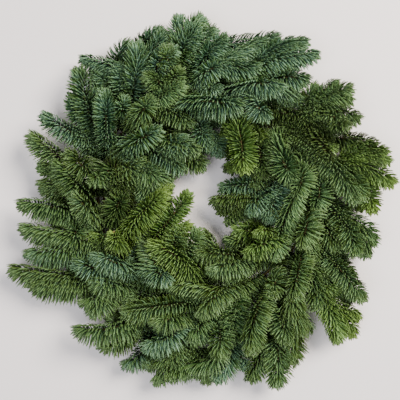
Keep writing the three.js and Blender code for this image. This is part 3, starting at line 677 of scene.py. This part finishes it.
def smooth_path(points, spacing):
    """Evenly spaced points on a smooth curve through the given ones."""
    points = np.asarray(points, dtype=float)
    padded = np.vstack([2 * points[0] - points[1], points, 2 * points[-1] - points[-2]])
    parts = 8
    t = np.arange(parts) / parts
    curve = []
    for i in range(len(points) - 1):
        a, b, c, d = padded[i:i + 4]
        for k in t:
            curve.append(0.5 * (2 * b + (c - a) * k + (2 * a - 5 * b + 4 * c - d) * k ** 2
                                + (3 * b - a - 3 * c + d) * k ** 3))
    curve = np.vstack([curve, points[-1:]])
    along = distances(curve)
    count = max(3, half_up(along[-1] / spacing) + 1)
    wanted = np.linspace(0, along[-1], count)
    return values_at(wanted, along, curve), wanted


def axes_along(points, up=(0, 0, 1)):
    """Forward, side and upper directions at each point of a path."""
    forward = unit(np.gradient(points, axis=0))
    side = unit(np.cross(forward, up))
    return forward, side, np.cross(side, forward)


def tube(points, radii, sides, finish=0, axes=None, closed=False):
    """A round tube, with a cap at each end, or closed on itself."""
    forward, side, upper = axes or axes_along(points)
    turn = np.arange(sides) / sides * TAU
    ring = (np.cos(turn)[:, None, None] * side + np.sin(turn)[:, None, None] * upper).transpose(1, 0, 2)
    rings = points[:, None, :] + ring * np.asarray(radii)[:, None, None]
    count = len(points)
    grid = np.arange(count * sides).reshape(count, sides)
    near, far = (grid, np.roll(grid, -1, axis=0)) if closed else (grid[:-1], grid[1:])
    walls = np.stack([near, far, np.roll(far, -1, axis=1), np.roll(near, -1, axis=1)], axis=-1)
    caps = [] if closed else [np.array([grid[0], grid[-1][::-1]])]
    return Batch(rings, [walls.reshape(-1, 4)] + caps, finish)


# ---- needles

NEEDLE_PITCH = 4.6  # between needles of one row along a shoot
NEEDLE_LENGTH = 28.0  # of the longest, more or less
NEEDLE_WIDTH = 2.1  # a little more than the real 1.5 to 2, which is too fine to show
NEEDLE_THICKNESS = 0.9
# Rows of needles on each side of a shoot, upper rows first: how far its feet are turned from the top of the
# shoot, how much less it leans out than the side rows, its share of the full length, its start along the
# pitch, and how much darker it is painted. The rows at half a pitch are seen between the others: they, and
# the lowest row most, are painted darker as painted shade in the gaps, and the two top rows a little
# lighter, as painted light on the top of the shoot.
NEEDLE_ROWS = (
    (12, 14, 0.72, 0.0, -0.1), (36, 6, 0.86, 0.0, -0.1),
    (62, 2, 0.96, 0.0, 0.0), (90, 0, 1.0, 0.0, 0.0),
    (26, 8, 0.66, 0.5, 0.35), (60, 3, 0.82, 0.5, 0.4),
    (92, 0, 0.92, 0.5, 0.5), (122, 2, 0.86, 0.25, 0.7),
)
RUN_OUT = 0.52  # of a needle's length, before it turns up
RUN_UP = 0.58  # and after that
LEAST_HEIGHT = 0.3  # of any needle above the surface that the wreath lies on
STATIONS = np.array([0.0, 0.34, 0.66, 0.9])  # shares of its length, where a needle has a section
WIDTHS = np.array([0.55, 1.0, 0.95, 0.62])  # of those, as shares of its width

# How needles stand. Angles are in degrees, and a pair is the range of a draw, or its middle and spread.
NEEDLE_LEAN, LEAN_WANDER = (82, 4), 3.2  # from the shoot's direction: of its side rows, and of each needle
STRAY_SHARE, STRAY_WANDER = 0.08, 20  # of needles out of line
ROW_WANDER, SHOOT_TWIST = 4, 8  # round the shoot
PITCH_WANDER = 0.08  # share of the pitch
OUTWARD, OUTWARD_WANDER = (0.3, 0.6), 0.1  # how far a needle ends away from the shoot, to 1 upwards
ONWARD, TIP_ONWARD = (0.15, 0.4), 1.8  # and how far along it, with more at the tip
TIP_STRETCH = 19.0  # of a shoot, along which the needles get shorter and close over the bud
TIP_CROWD = 0.6  # of that stretch, with twice the needles
TIP_EASE, GROWTH_EASE = 0.7, 1.5
TIP_LEAN, TIP_LENGTH = 0.32, 0.42  # shares that are left at the tip
FOOT_STRETCH, FOOT_LENGTH = 14.0, 0.7  # of a shoot, along which the needles get longer, from this share
SHORT_SHOOT, LONG_SHOOT = 25.0, 85.0  # needled stretch, with short needles and with full ones
SHORT_SHOOT_LENGTH = 0.74
LENGTHS, SHOOT_LENGTHS = (0.92, 1.05), (0.84, 1.08)  # of each needle, and of all of a shoot
SHOOT_SHADES, SHADE_WANDER = (0.25, 0.62), 0.24  # 0 is the body colour and 1 the light one
# Painted shade, for needles under higher shoots.
UNDER_SHADE = 0.8  # by which the deepest needles are darker
YOUNG_STRETCH = 30.0  # of a shoot, with this year's needles
CAST = (0.5, 0.28)  # 0 is the warm green and 1 the body colour


def needle_faces(count):
    """Faces of needles of four three-cornered rings and a tip."""
    k = np.arange(3)
    ahead = (k + 1) % 3
    walls = [np.stack([k + 3 * r, ahead + 3 * r, ahead + 3 * r + 3, k + 3 * r + 3], axis=-1)
             for r in range(len(STATIONS) - 1)]
    last = 3 * (len(STATIONS) - 1)
    ends = np.vstack([np.stack([k + last, ahead + last, np.full(3, last + 3)], axis=-1), [(2, 1, 0)]])
    first = (np.arange(count) * (last + 4))[:, None, None]
    return [(first + np.vstack(walls)[None]).reshape(-1, 4), (first + ends[None]).reshape(-1, 3)]


def grow_needles(roots, start, goal, length, looks):
    """Flat needles that leave the shoot along start, and bend to end along goal."""
    count = len(roots)
    t = STATIONS[None, :, None]
    out = roots + length[:, None] * RUN_OUT * start
    tip = out + length[:, None] * RUN_UP * goal
    middle = (1 - t) ** 2 * roots[:, None] + 2 * t * (1 - t) * out[:, None] + t ** 2 * tip[:, None]
    heading = unit((1 - t) * (out - roots)[:, None] + t * (tip - out)[:, None])
    across = unit(np.cross(start, goal))[:, None]
    face = np.cross(heading, across)
    width = NEEDLE_WIDTH / 2 * WIDTHS[None, :, None]
    ridge = NEEDLE_THICKNESS * WIDTHS[None, :, None]
    corners = np.stack([middle + across * width, middle + face * ridge, middle - across * width], axis=2)
    points = np.concatenate([corners.reshape(count, -1, 3), tip[:, None, :]], axis=1)
    points[:, :, 2] = np.maximum(points[:, :, 2], LEAST_HEIGHT)
    shade, youth, cast = looks
    leaf = np.zeros((count, points.shape[1], 4))
    leaf[:, :, 0] = shade[:, None]
    leaf[:, :-1, 1] = np.repeat(STATIONS, 3)[None]
    leaf[:, -1, 1] = 1.0
    leaf[:, :, 2] = youth[:, None]
    leaf[:, :, 3] = cast[:, None]
    return Batch(points, needle_faces(count), LEAF_FINISH, leaf.reshape(-1, 4))


def needle_rows(bare, total, draw):
    """Each needle's place along and round the shoot, its lesser lean, its share of length, its darkness."""
    found = []
    first = bare + NEEDLE_PITCH * draw.random()
    for side in (-1, 1):
        for turned, less, share, phase, dark in NEEDLE_ROWS:
            s = np.arange(first + phase * NEEDLE_PITCH, total, NEEDLE_PITCH)
            tip_start = max(first, total - TIP_CROWD * TIP_STRETCH)
            s = np.concatenate([s, np.arange(tip_start, total, NEEDLE_PITCH)])
            s = s + draw.normal(0, PITCH_WANDER, len(s)) * NEEDLE_PITCH
            found.append(np.stack([s, *(np.full(len(s), v) for v in (side * turned, less, share, dark))]))
    return np.concatenate(found, axis=1)


def dress_shoot(path, along, bare, up, seed, youth_of_shoot, depth):
    """Needles all along a shoot but for its bare foot. depth is 0 for a shoot on top, 1 for the lowest, and
    sets the needles' painted shade.
    """
    draw = np.random.default_rng(seed)
    total = along[-1]
    if total - bare < 2 * NEEDLE_PITCH:
        return None
    # dark is each row's painted shade, or painted light where it is below 0.
    s, turned, less, share, dark = needle_rows(bare, total, draw)
    s = np.clip(s, 0, total)
    count = len(s)
    forward, side, upper = (values_at(s, along, axis) for axis in axes_along(path, up))
    roots = values_at(s, along, path)
    round_it = np.radians(turned + draw.normal(0, ROW_WANDER, count) + draw.normal(0, SHOOT_TWIST))
    to_tip = np.clip((total - s) / TIP_STRETCH, 0, 1) ** TIP_EASE
    stray = np.where(draw.random(count) < STRAY_SHARE, draw.normal(0, STRAY_WANDER, count), 0)
    lean = (draw.normal(*NEEDLE_LEAN) - less) * lerp(TIP_LEAN, 1, to_tip)
    lean = np.radians(lean + draw.normal(0, LEAN_WANDER, count) + stray)
    radial = np.cos(round_it)[:, None] * upper + np.sin(round_it)[:, None] * side
    start = np.cos(lean)[:, None] * forward + np.sin(lean)[:, None] * radial
    outward = draw.uniform(*OUTWARD) + draw.uniform(-OUTWARD_WANDER, OUTWARD_WANDER, count)
    onward = draw.uniform(*ONWARD) + TIP_ONWARD * (1 - to_tip) ** GROWTH_EASE
    goal = unit(upper + outward[:, None] * radial + onward[:, None] * forward)
    length = NEEDLE_LENGTH * share * lerp(TIP_LENGTH, 1, to_tip) * draw.uniform(*LENGTHS, count)
    size = clamp((total - bare - SHORT_SHOOT) / (LONG_SHOOT - SHORT_SHOOT), 0, 1)
    length *= lerp(SHORT_SHOOT_LENGTH, 1, size)
    from_foot = np.clip(lerp(FOOT_LENGTH, 1, (s - bare) / FOOT_STRETCH), FOOT_LENGTH, 1)
    length *= from_foot * draw.uniform(*SHOOT_LENGTHS)
    # Painted shade: needles under higher shoots, and those of the darker rows, are darkened; the rest is the
    # needle's own random shade.
    under = np.interp(s, along, depth)
    shade = draw.uniform(*SHOOT_SHADES) + draw.normal(0, SHADE_WANDER, count) - UNDER_SHADE * under - dark
    youth = youth_of_shoot * np.clip(1 - (total - s) / YOUNG_STRETCH, 0, 1) ** GROWTH_EASE
    cast = np.clip(np.full(count, draw.normal(*CAST)), 0, 1)
    return grow_needles(roots, unit(start), goal, length, (shade, youth, cast))


BUDS = 3
BUD_LENGTH = 4.2
BUD_SUNK = 0.6  # into the end of the shoot
BUD_RADIUS = 1.5
BUD_STATIONS = np.array([0.0, 0.25, 0.55, 0.85, 1.0])
BUD_WIDTHS = np.array([0.55, 1.0, 0.95, 0.5, 0.12])
SIDE_BUD_LEAN = 0.5


def bud(path, forward, seed):
    """Small buds that close the end of a shoot: one straight ahead and the others beside it."""
    draw = random.Random(seed)
    side = unit(np.cross(forward, (0, 0, 1.0)))
    batches = []
    for k in range(BUDS):
        turn = k / BUDS * TAU + draw.random()
        lean = math.cos(turn) * side + math.sin(turn) * np.cross(side, forward)
        heading = unit(forward + lean * (SIDE_BUD_LEAN if k else 0.0))
        points = path[-1] + heading * (BUD_STATIONS[:, None] * BUD_LENGTH - BUD_SUNK)
        batches.append(tube(points, BUD_RADIUS * BUD_WIDTHS, sides=6, finish=BUD_FINISH))
    return batches


# ---- sprays

BRUSH_SHIFT = 8.0  # of a shoot, away from where its needles point
# Painted shade: needles are darkened by how far they lie below the highest shoot near them.
TOP_CELL = 7.0  # of the plan, in which the highest shoot counts
TOP_SLACK = 6.0  # below it, where a shoot is still on top
TOP_RANGE = 20.0  # from there to the darkest
YOUTH = dict(blue=0.35, green=0.6, lime=0.8, olive=0.45)  # share of young yellow-green at a tip
YOUTH_RANGE = (0.0, 1.1)
ROLL_SIDE, ROLL_DOWN = 0.12, (0.8, 0.25)  # of the needles' up direction, to 1 towards the viewer
PATH_STEP = 4.0
TWIG_RADIUS = 1.4  # at the foot of a side shoot
THIN_RADIUS, THICK_STRETCH, TIP_TAPER = 1.25, 60.0, 0.8  # of any shoot, past its thick foot
CUT_ENDS, CUT_SHARE = (-0.3, 0.5), 0.92  # of the pale wood, from the bark's foot, and of its thickness
SEEDS_TO_A_SPRAY = 20


def cell_of(x, y):
    return (half_up(x / TOP_CELL), half_up(y / TOP_CELL))


def highest_shoots():
    """The height of the highest shoot in or next to each cell of the plan."""
    tops = {}
    for shoot in all_shoots():
        for i, (x, y) in enumerate(shoot.flat):
            across, down = cell_of(x, y)
            for dx, dy in product((-1, 0, 1), repeat=2):
                cell = (across + dx, down + dy)
                tops[cell] = max(tops.get(cell, 0.0), shoot.height(i))
    return tops


def depth_along(path):
    """How deep in the foliage each point of a path is, 0 at the top and 1 where its painted shade is darkest.
    """
    tops = np.array([TOPS.get(cell_of(x, y), 0.0) for x, y, z in path])
    return np.clip((tops - path[:, 2] - TOP_SLACK) / TOP_RANGE, 0, 1)


def wood(path, along, foot_radius):
    thin = np.clip(along / THICK_STRETCH, 0, 1)
    radii = lerp(foot_radius, THIN_RADIUS, thin) * lerp(1, TIP_TAPER, along / along[-1])
    return tube(path, radii, sides=8, finish=BARK_FINISH)


def cut_end(path):
    """The pale face that the pruner left, a little proud of the bark."""
    ends = path[0] + np.outer(CUT_ENDS, unit(path[1] - path[0]))
    return tube(ends, [CUT_SHARE * STEM_HEIGHT / 2] * 2, sides=8, finish=CUT_FINISH)


def roll(draw):
    """The up direction of a shoot's needles. They face the viewer, and 6 o'clock more or less."""
    return (draw.gauss(0, ROLL_SIDE), -draw.gauss(*ROLL_DOWN), 1.0)


def aside(shoot, up):
    """How far a shoot lies to the side of its plan, so that its needles lie evenly over the plan."""
    a, b = shoot.flat[len(shoot.flat) // 2], shoot.flat[-1]
    ahead = unit(np.array([b[0] - a[0], b[1] - a[1], 0.0]))
    upper = unit(np.array(up) - np.dot(up, ahead) * ahead)
    return -BRUSH_SHIFT * upper[:2]


def spray_piece(made, number):
    """A spray's shoots, each with its wood, needles and buds, as one piece."""
    batches = []
    for k, shoot in enumerate(made["shoots"]):
        seed = number * SEEDS_TO_A_SPRAY + k
        draw = random.Random(seed)
        up = roll(draw)
        main = shoot.parent is None
        shoot.aside = aside(shoot, up)
        if shoot.parent:
            shoot.foot_aside = shoot.parent.moved(shoot.at)
        path, along = smooth_path([shoot.place(i) for i in range(len(shoot.flat))], PATH_STEP)
        batches.append(wood(path, along, STEM_HEIGHT / 2 if main else TWIG_RADIUS))
        if main:
            batches.append(cut_end(path))
        youth = YOUTH[made["tone"]] * draw.uniform(*YOUTH_RANGE)
        needles = dress_shoot(path, along, shoot.bare, up, seed, youth, depth_along(path))
        if needles:
            batches.append(needles)
        batches += bud(path, axes_along(path)[0][-1], seed)
    materials = [NEEDLE_MATERIALS[made["tone"]]] + WOODY_MATERIALS
    piece = make_piece(f"noble_fir_{made['key']}", batches, materials)
    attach(piece, "root")
    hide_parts(f"bunch_{made['key']}_spray")


# ---- smaller shoots in the gaps

REACH_RANGE = (8, 95)  # from a sprig's fork to its heel
FORK_ANGLE, HEEL_ANGLE = 62, 60  # most that it can turn there, in degrees
FORK_COST, HEEL_COST = 0.5, 0.7  # of a degree, against a millimetre of reach
OTHER_TONE = 16  # cost of a spray of another tone
FOLIAGE_STEP = 4.0
FILL_LENGTHS = (30, 46, 62)  # of the shoots that fill a gap
FILL_TURNS = (-48, -28, 28, 48)  # from the shoot that they grow from
HEEL_SHARE, HEEL_TURN = 0.45, 0.8  # of their length up to the heel, and of the turn after it
FILL_LAYERS = (0.1, 0.9)
FILL_LEAST, TIP_LEAST, FAR = 11.0, 5.0, 99.0  # from other foliage: a gap, its far end, and no foliage yet
INSIDE_REACH = 32.0  # in which foliage has to stand all round
SECTORS = 8  # of the clock, all but one of them with foliage
FILL_SEED = 5


def angle_between(u, v):
    return abs(math.degrees(math.remainder(math.atan2(u[1], u[0]) - math.atan2(v[1], v[0]), TAU)))


def add_sprig(tone, layer, heel, tip, on=None, bare=TWIG_BARE):
    """Adds a side shoot to the spray, and at the fork, that it can grow from with the least bend."""
    heel, tip = on_plan(heel), on_plan(tip)
    found = []
    for number, made in enumerate(sprays):
        if on and made["key"] != on:
            continue
        own = made["shoots"][0]
        for at in range(3, len(own.flat) - 1):
            out = (heel[0] - own.flat[at][0], heel[1] - own.flat[at][1])
            span = math.hypot(*out)
            first = angle_between(along_shoot(own, at), out)
            last = angle_between(out, (tip[0] - heel[0], tip[1] - heel[1]))
            if REACH_RANGE[0] <= span <= REACH_RANGE[1] and first <= FORK_ANGLE and last <= HEEL_ANGLE:
                cost = span + FORK_COST * first + HEEL_COST * last + OTHER_TONE * (made["tone"] != tone)
                found.append((cost, number, at))
    cost, number, at = min(found)
    shoots = sprays[number]["shoots"]
    shoots.append(side_shoot(shoots[0], at, layer, heel, tip))
    shoots[-1].bare = bare


def foliage_line(shoot):
    """Points on the plan along the needled stretch of a shoot."""
    flat = np.array(shoot.flat)
    along = distances(flat)
    wanted = np.arange(shoot.bare, along[-1] + FOLIAGE_STEP / 2, FOLIAGE_STEP)
    return values_at(wanted, along, flat)


def turned(direction, degrees):
    angle = math.atan2(direction[1], direction[0]) + math.radians(degrees)
    return np.array([math.cos(angle), math.sin(angle)])


def fill_gaps():
    """Adds side shoots where the foliage is thin but stands all round, the thinnest place first."""
    places = []
    for made in sprays:
        for own in made["shoots"]:
            for at in range(3, len(own.flat) - 1):
                ahead = along_shoot(own, at)
                for degrees, length in product(FILL_TURNS, FILL_LENGTHS):
                    heel = own.flat[at] + turned(ahead, degrees) * length * HEEL_SHARE
                    tip = heel + turned(ahead, HEEL_TURN * degrees) * length * (1 - HEEL_SHARE)
                    places.append((made, own, at, heel, tip))
    spots = np.array([[lerp(heel, tip, q) for q in (0.0, 0.5, 1.0)] for *_, heel, tip in places])
    nearest = np.full(spots.shape[:2], FAR)
    around = np.zeros(spots.shape[:2] + (SECTORS,), dtype=bool)

    def count_in(line):
        for point in line:
            off = point - spots
            far = np.hypot(off[..., 0], off[..., 1])
            np.minimum(nearest, far, out=nearest)
            near = far < INSIDE_REACH
            sector = (np.arctan2(off[..., 1], off[..., 0]) / TAU * SECTORS).astype(int) % SECTORS
            around[near, sector[near]] = True

    for shoot in all_shoots():
        count_in(foliage_line(shoot))
    draw = random.Random(FILL_SEED)
    free = np.ones(len(places), dtype=bool)
    while True:
        sheltered = (around.sum(axis=2) >= SECTORS - 1).all(axis=1)
        score = np.where(free & sheltered & (nearest[:, -1] > TIP_LEAST), nearest.max(axis=1), 0)
        best = int(score.argmax())
        free[best] = False
        if score[best] < FILL_LEAST:
            return
        made, own, at, heel, tip = places[best]
        layer = draw.uniform(*FILL_LAYERS)
        made["shoots"].append(side_shoot(own, at, layer, tuple(heel), tuple(tip)))
        count_in(foliage_line(made["shoots"][-1]))


# ---- all sprays

for number, (tone, layer, heel, tip, *twigs) in enumerate(SPRAYS):
    index, place = divmod(number, len(LANES))
    lane = list(LANES)[place]
    shoots = [spray_shoot(index, lane, layer, heel, tip)]
    for start, layer, heel, tip in twigs:
        at = fork(shoots[0], start)
        shoots.append(side_shoot(shoots[0], at, layer, on_plan(heel), on_plan(tip)))
    sprays.append(dict(key=f"{index + 1:02d}_{lane}", tone=tone, shoots=shoots))
settle(ROUNDS)
for shoot in all_shoots():
    shoot.fixed = True
for small in DEEP_SPRIGS:
    add_sprig(*small)
fill_gaps()
settle(LOW_ROUNDS)
for shoot in all_shoots():
    if not shoot.fixed:
        shoot.own = [min(value, HIGHEST_SPRIG) for value in shoot.own]

# Heights of the highest shoots, for the painted shade of the needles below them.
TOPS = highest_shoots()
for number, made in enumerate(sprays):
    spray_piece(made, number + 1)

# ---- frame and binding wire

RUNGS, RUNG_SHARE = 8, 0.8  # and their share of the hoops' thickness
HOOP_STEPS = 228
WIRE_BEND = 1.6  # of binding wire, each side of a corner, that is bent round it
MOST_BENT = 0.45  # of the wire between two corners, for each of them
BEND_POINTS = 6
WIRE_END = 0.6  # share of the way from the last corner to the first, where the wire starts


def frame_piece():
    """Two round hoops with welded rungs between them."""
    turn = np.arange(HOOP_STEPS) / HOOP_STEPS * TAU
    out = np.stack([np.sin(turn), np.cos(turn), np.zeros(HOOP_STEPS)], axis=1)
    axes = (None, out, np.tile((0.0, 0.0, -1.0), (HOOP_STEPS, 1)))
    batches = []
    for side in (-1, 1):
        middle = out * (RING_RADIUS + side * HOOP_OFFSET) + (0, 0, FRAME_Z)
        batches.append(tube(middle, np.full(HOOP_STEPS, HOOP_HALF), sides=12, axes=axes, closed=True))
    for k in range(RUNGS):
        angle = (k + 0.5) / RUNGS * TAU
        ends = [(*on_ring(angle, RING_RADIUS + side * HOOP_OFFSET), FRAME_Z) for side in (-1, 1)]
        batches.append(tube(np.array(ends), [RUNG_SHARE * HOOP_HALF] * 2, sides=8))
    return make_piece("welded_wire_frame", batches, [steel_material()])


def wire_corners():
    """Corners of the binding wire: up outside the frame, over the stems, down, and on under the frame."""
    corners = []
    for k in range(BUNCHES):
        for share, side, z in (
            (-1, WIRE_SIDE, WIRE / 2),
            (-DOWN_SHARE, WIRE_SIDE, WIRE_TOP_Z - WIRE_CORNER),
            (-OVER_SHARE, WIRE_SIDE - WIRE_CORNER, WIRE_TOP_Z),
            (OVER_SHARE, WIRE_CORNER - WIRE_SIDE, WIRE_TOP_Z),
            (DOWN_SHARE, -WIRE_SIDE, WIRE_TOP_Z - WIRE_CORNER),
            (1, -WIRE_SIDE, WIRE / 2),
        ):
            corners.append((*on_ring(bunch_angle(k) + share * WIRE_TURN, RING_RADIUS + side), z))
    corners = np.array(corners)
    first, last = corners[0], corners[-1]
    return np.vstack([[lerp(last, first, WIRE_END)], corners, [lerp(last, first, 1 - WIRE_END)]])


def bent_wire(corners):
    """A path through the corners, with each one bent round."""
    path = [corners[0]]
    for before, corner, after in zip(corners, corners[1:], corners[2:]):
        start, end = (corner + v * min(MOST_BENT, WIRE_BEND / np.linalg.norm(v))
                      for v in (before - corner, after - corner))
        for t in np.linspace(0, 1, BEND_POINTS):
            path.append((1 - t) ** 2 * start + 2 * t * (1 - t) * corner + t ** 2 * end)
    return np.array(path + [corners[-1]])


def carried_axes(path):
    """Directions across a path, carried along it without a twist."""
    forward = unit(np.gradient(path, axis=0))
    side = [unit(np.cross(forward[0], (0, 0, 1.0)))]
    for ahead in forward[1:]:
        side.append(unit(side[-1] - np.dot(side[-1], ahead) * ahead))
    side = np.array(side)
    return forward, side, np.cross(side, forward)


def binding_piece():
    path = bent_wire(wire_corners())
    wire = tube(path, np.full(len(path), WIRE / 2), sides=8, axes=carried_axes(path))
    return make_piece("wound_binding_wire", [wire], [lacquer_material()])


for piece, node, slot in (
    (frame_piece(), "wire_frame", "frame_wire"),
    (binding_piece(), "binding_wire", "binding_wire"),
):
    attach(piece, "root")
    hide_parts(node)

# ---- surface and light

FLOOR_HALF = 3.0  # metres
FLOOR_DROP = 0.4 * MM  # so that the wire on it stays clear
# Each light's name, place and width in metres, power in watts and colour. The window is at the upper right.
LIGHTS = (
    ("window", (1.35, 0.95, 1.75), 1.4, 132.0, "#fffaf2"),
    ("room", (-0.9, -0.5, 2.2), 1.6, 34.0, "#eef3ff"),
)
AMBIENT_STRENGTH = 0.44


def add_floor():
    mesh = bpy.data.meshes.new("floor")
    corners = [(x * FLOOR_HALF, y * FLOOR_HALF, 0) for x, y in ((-1, -1), (1, -1), (1, 1), (-1, 1))]
    mesh.from_pydata(corners, [], [(0, 1, 2, 3)])
    mesh.materials.append(paint_material())
    floor = bpy.data.objects.new("floor", mesh)
    floor.location = (0, 0, -FLOOR_DROP)
    bpy.context.scene.collection.objects.link(floor)


def add_light(name, place, width, power, colour):
    """A round light that faces the wreath."""
    data = bpy.data.lights.new(name, "AREA")
    data.shape = "DISK"
    data.size = width
    data.energy = power
    data.color = linear(colour)[:3]
    light = bpy.data.objects.new(name, data)
    light.location = place
    light.rotation_euler = (-Vector(place)).to_track_quat("-Z", "Y").to_euler()
    bpy.context.scene.collection.objects.link(light)


add_floor()
for light in LIGHTS:
    add_light(*light)
world = bpy.data.worlds.new("soft_room_light")
world.use_nodes = True
set_inputs(world.node_tree.nodes["Background"], {"Color": linear("#eef1f4"), "Strength": AMBIENT_STRENGTH})
bpy.context.scene.world = world
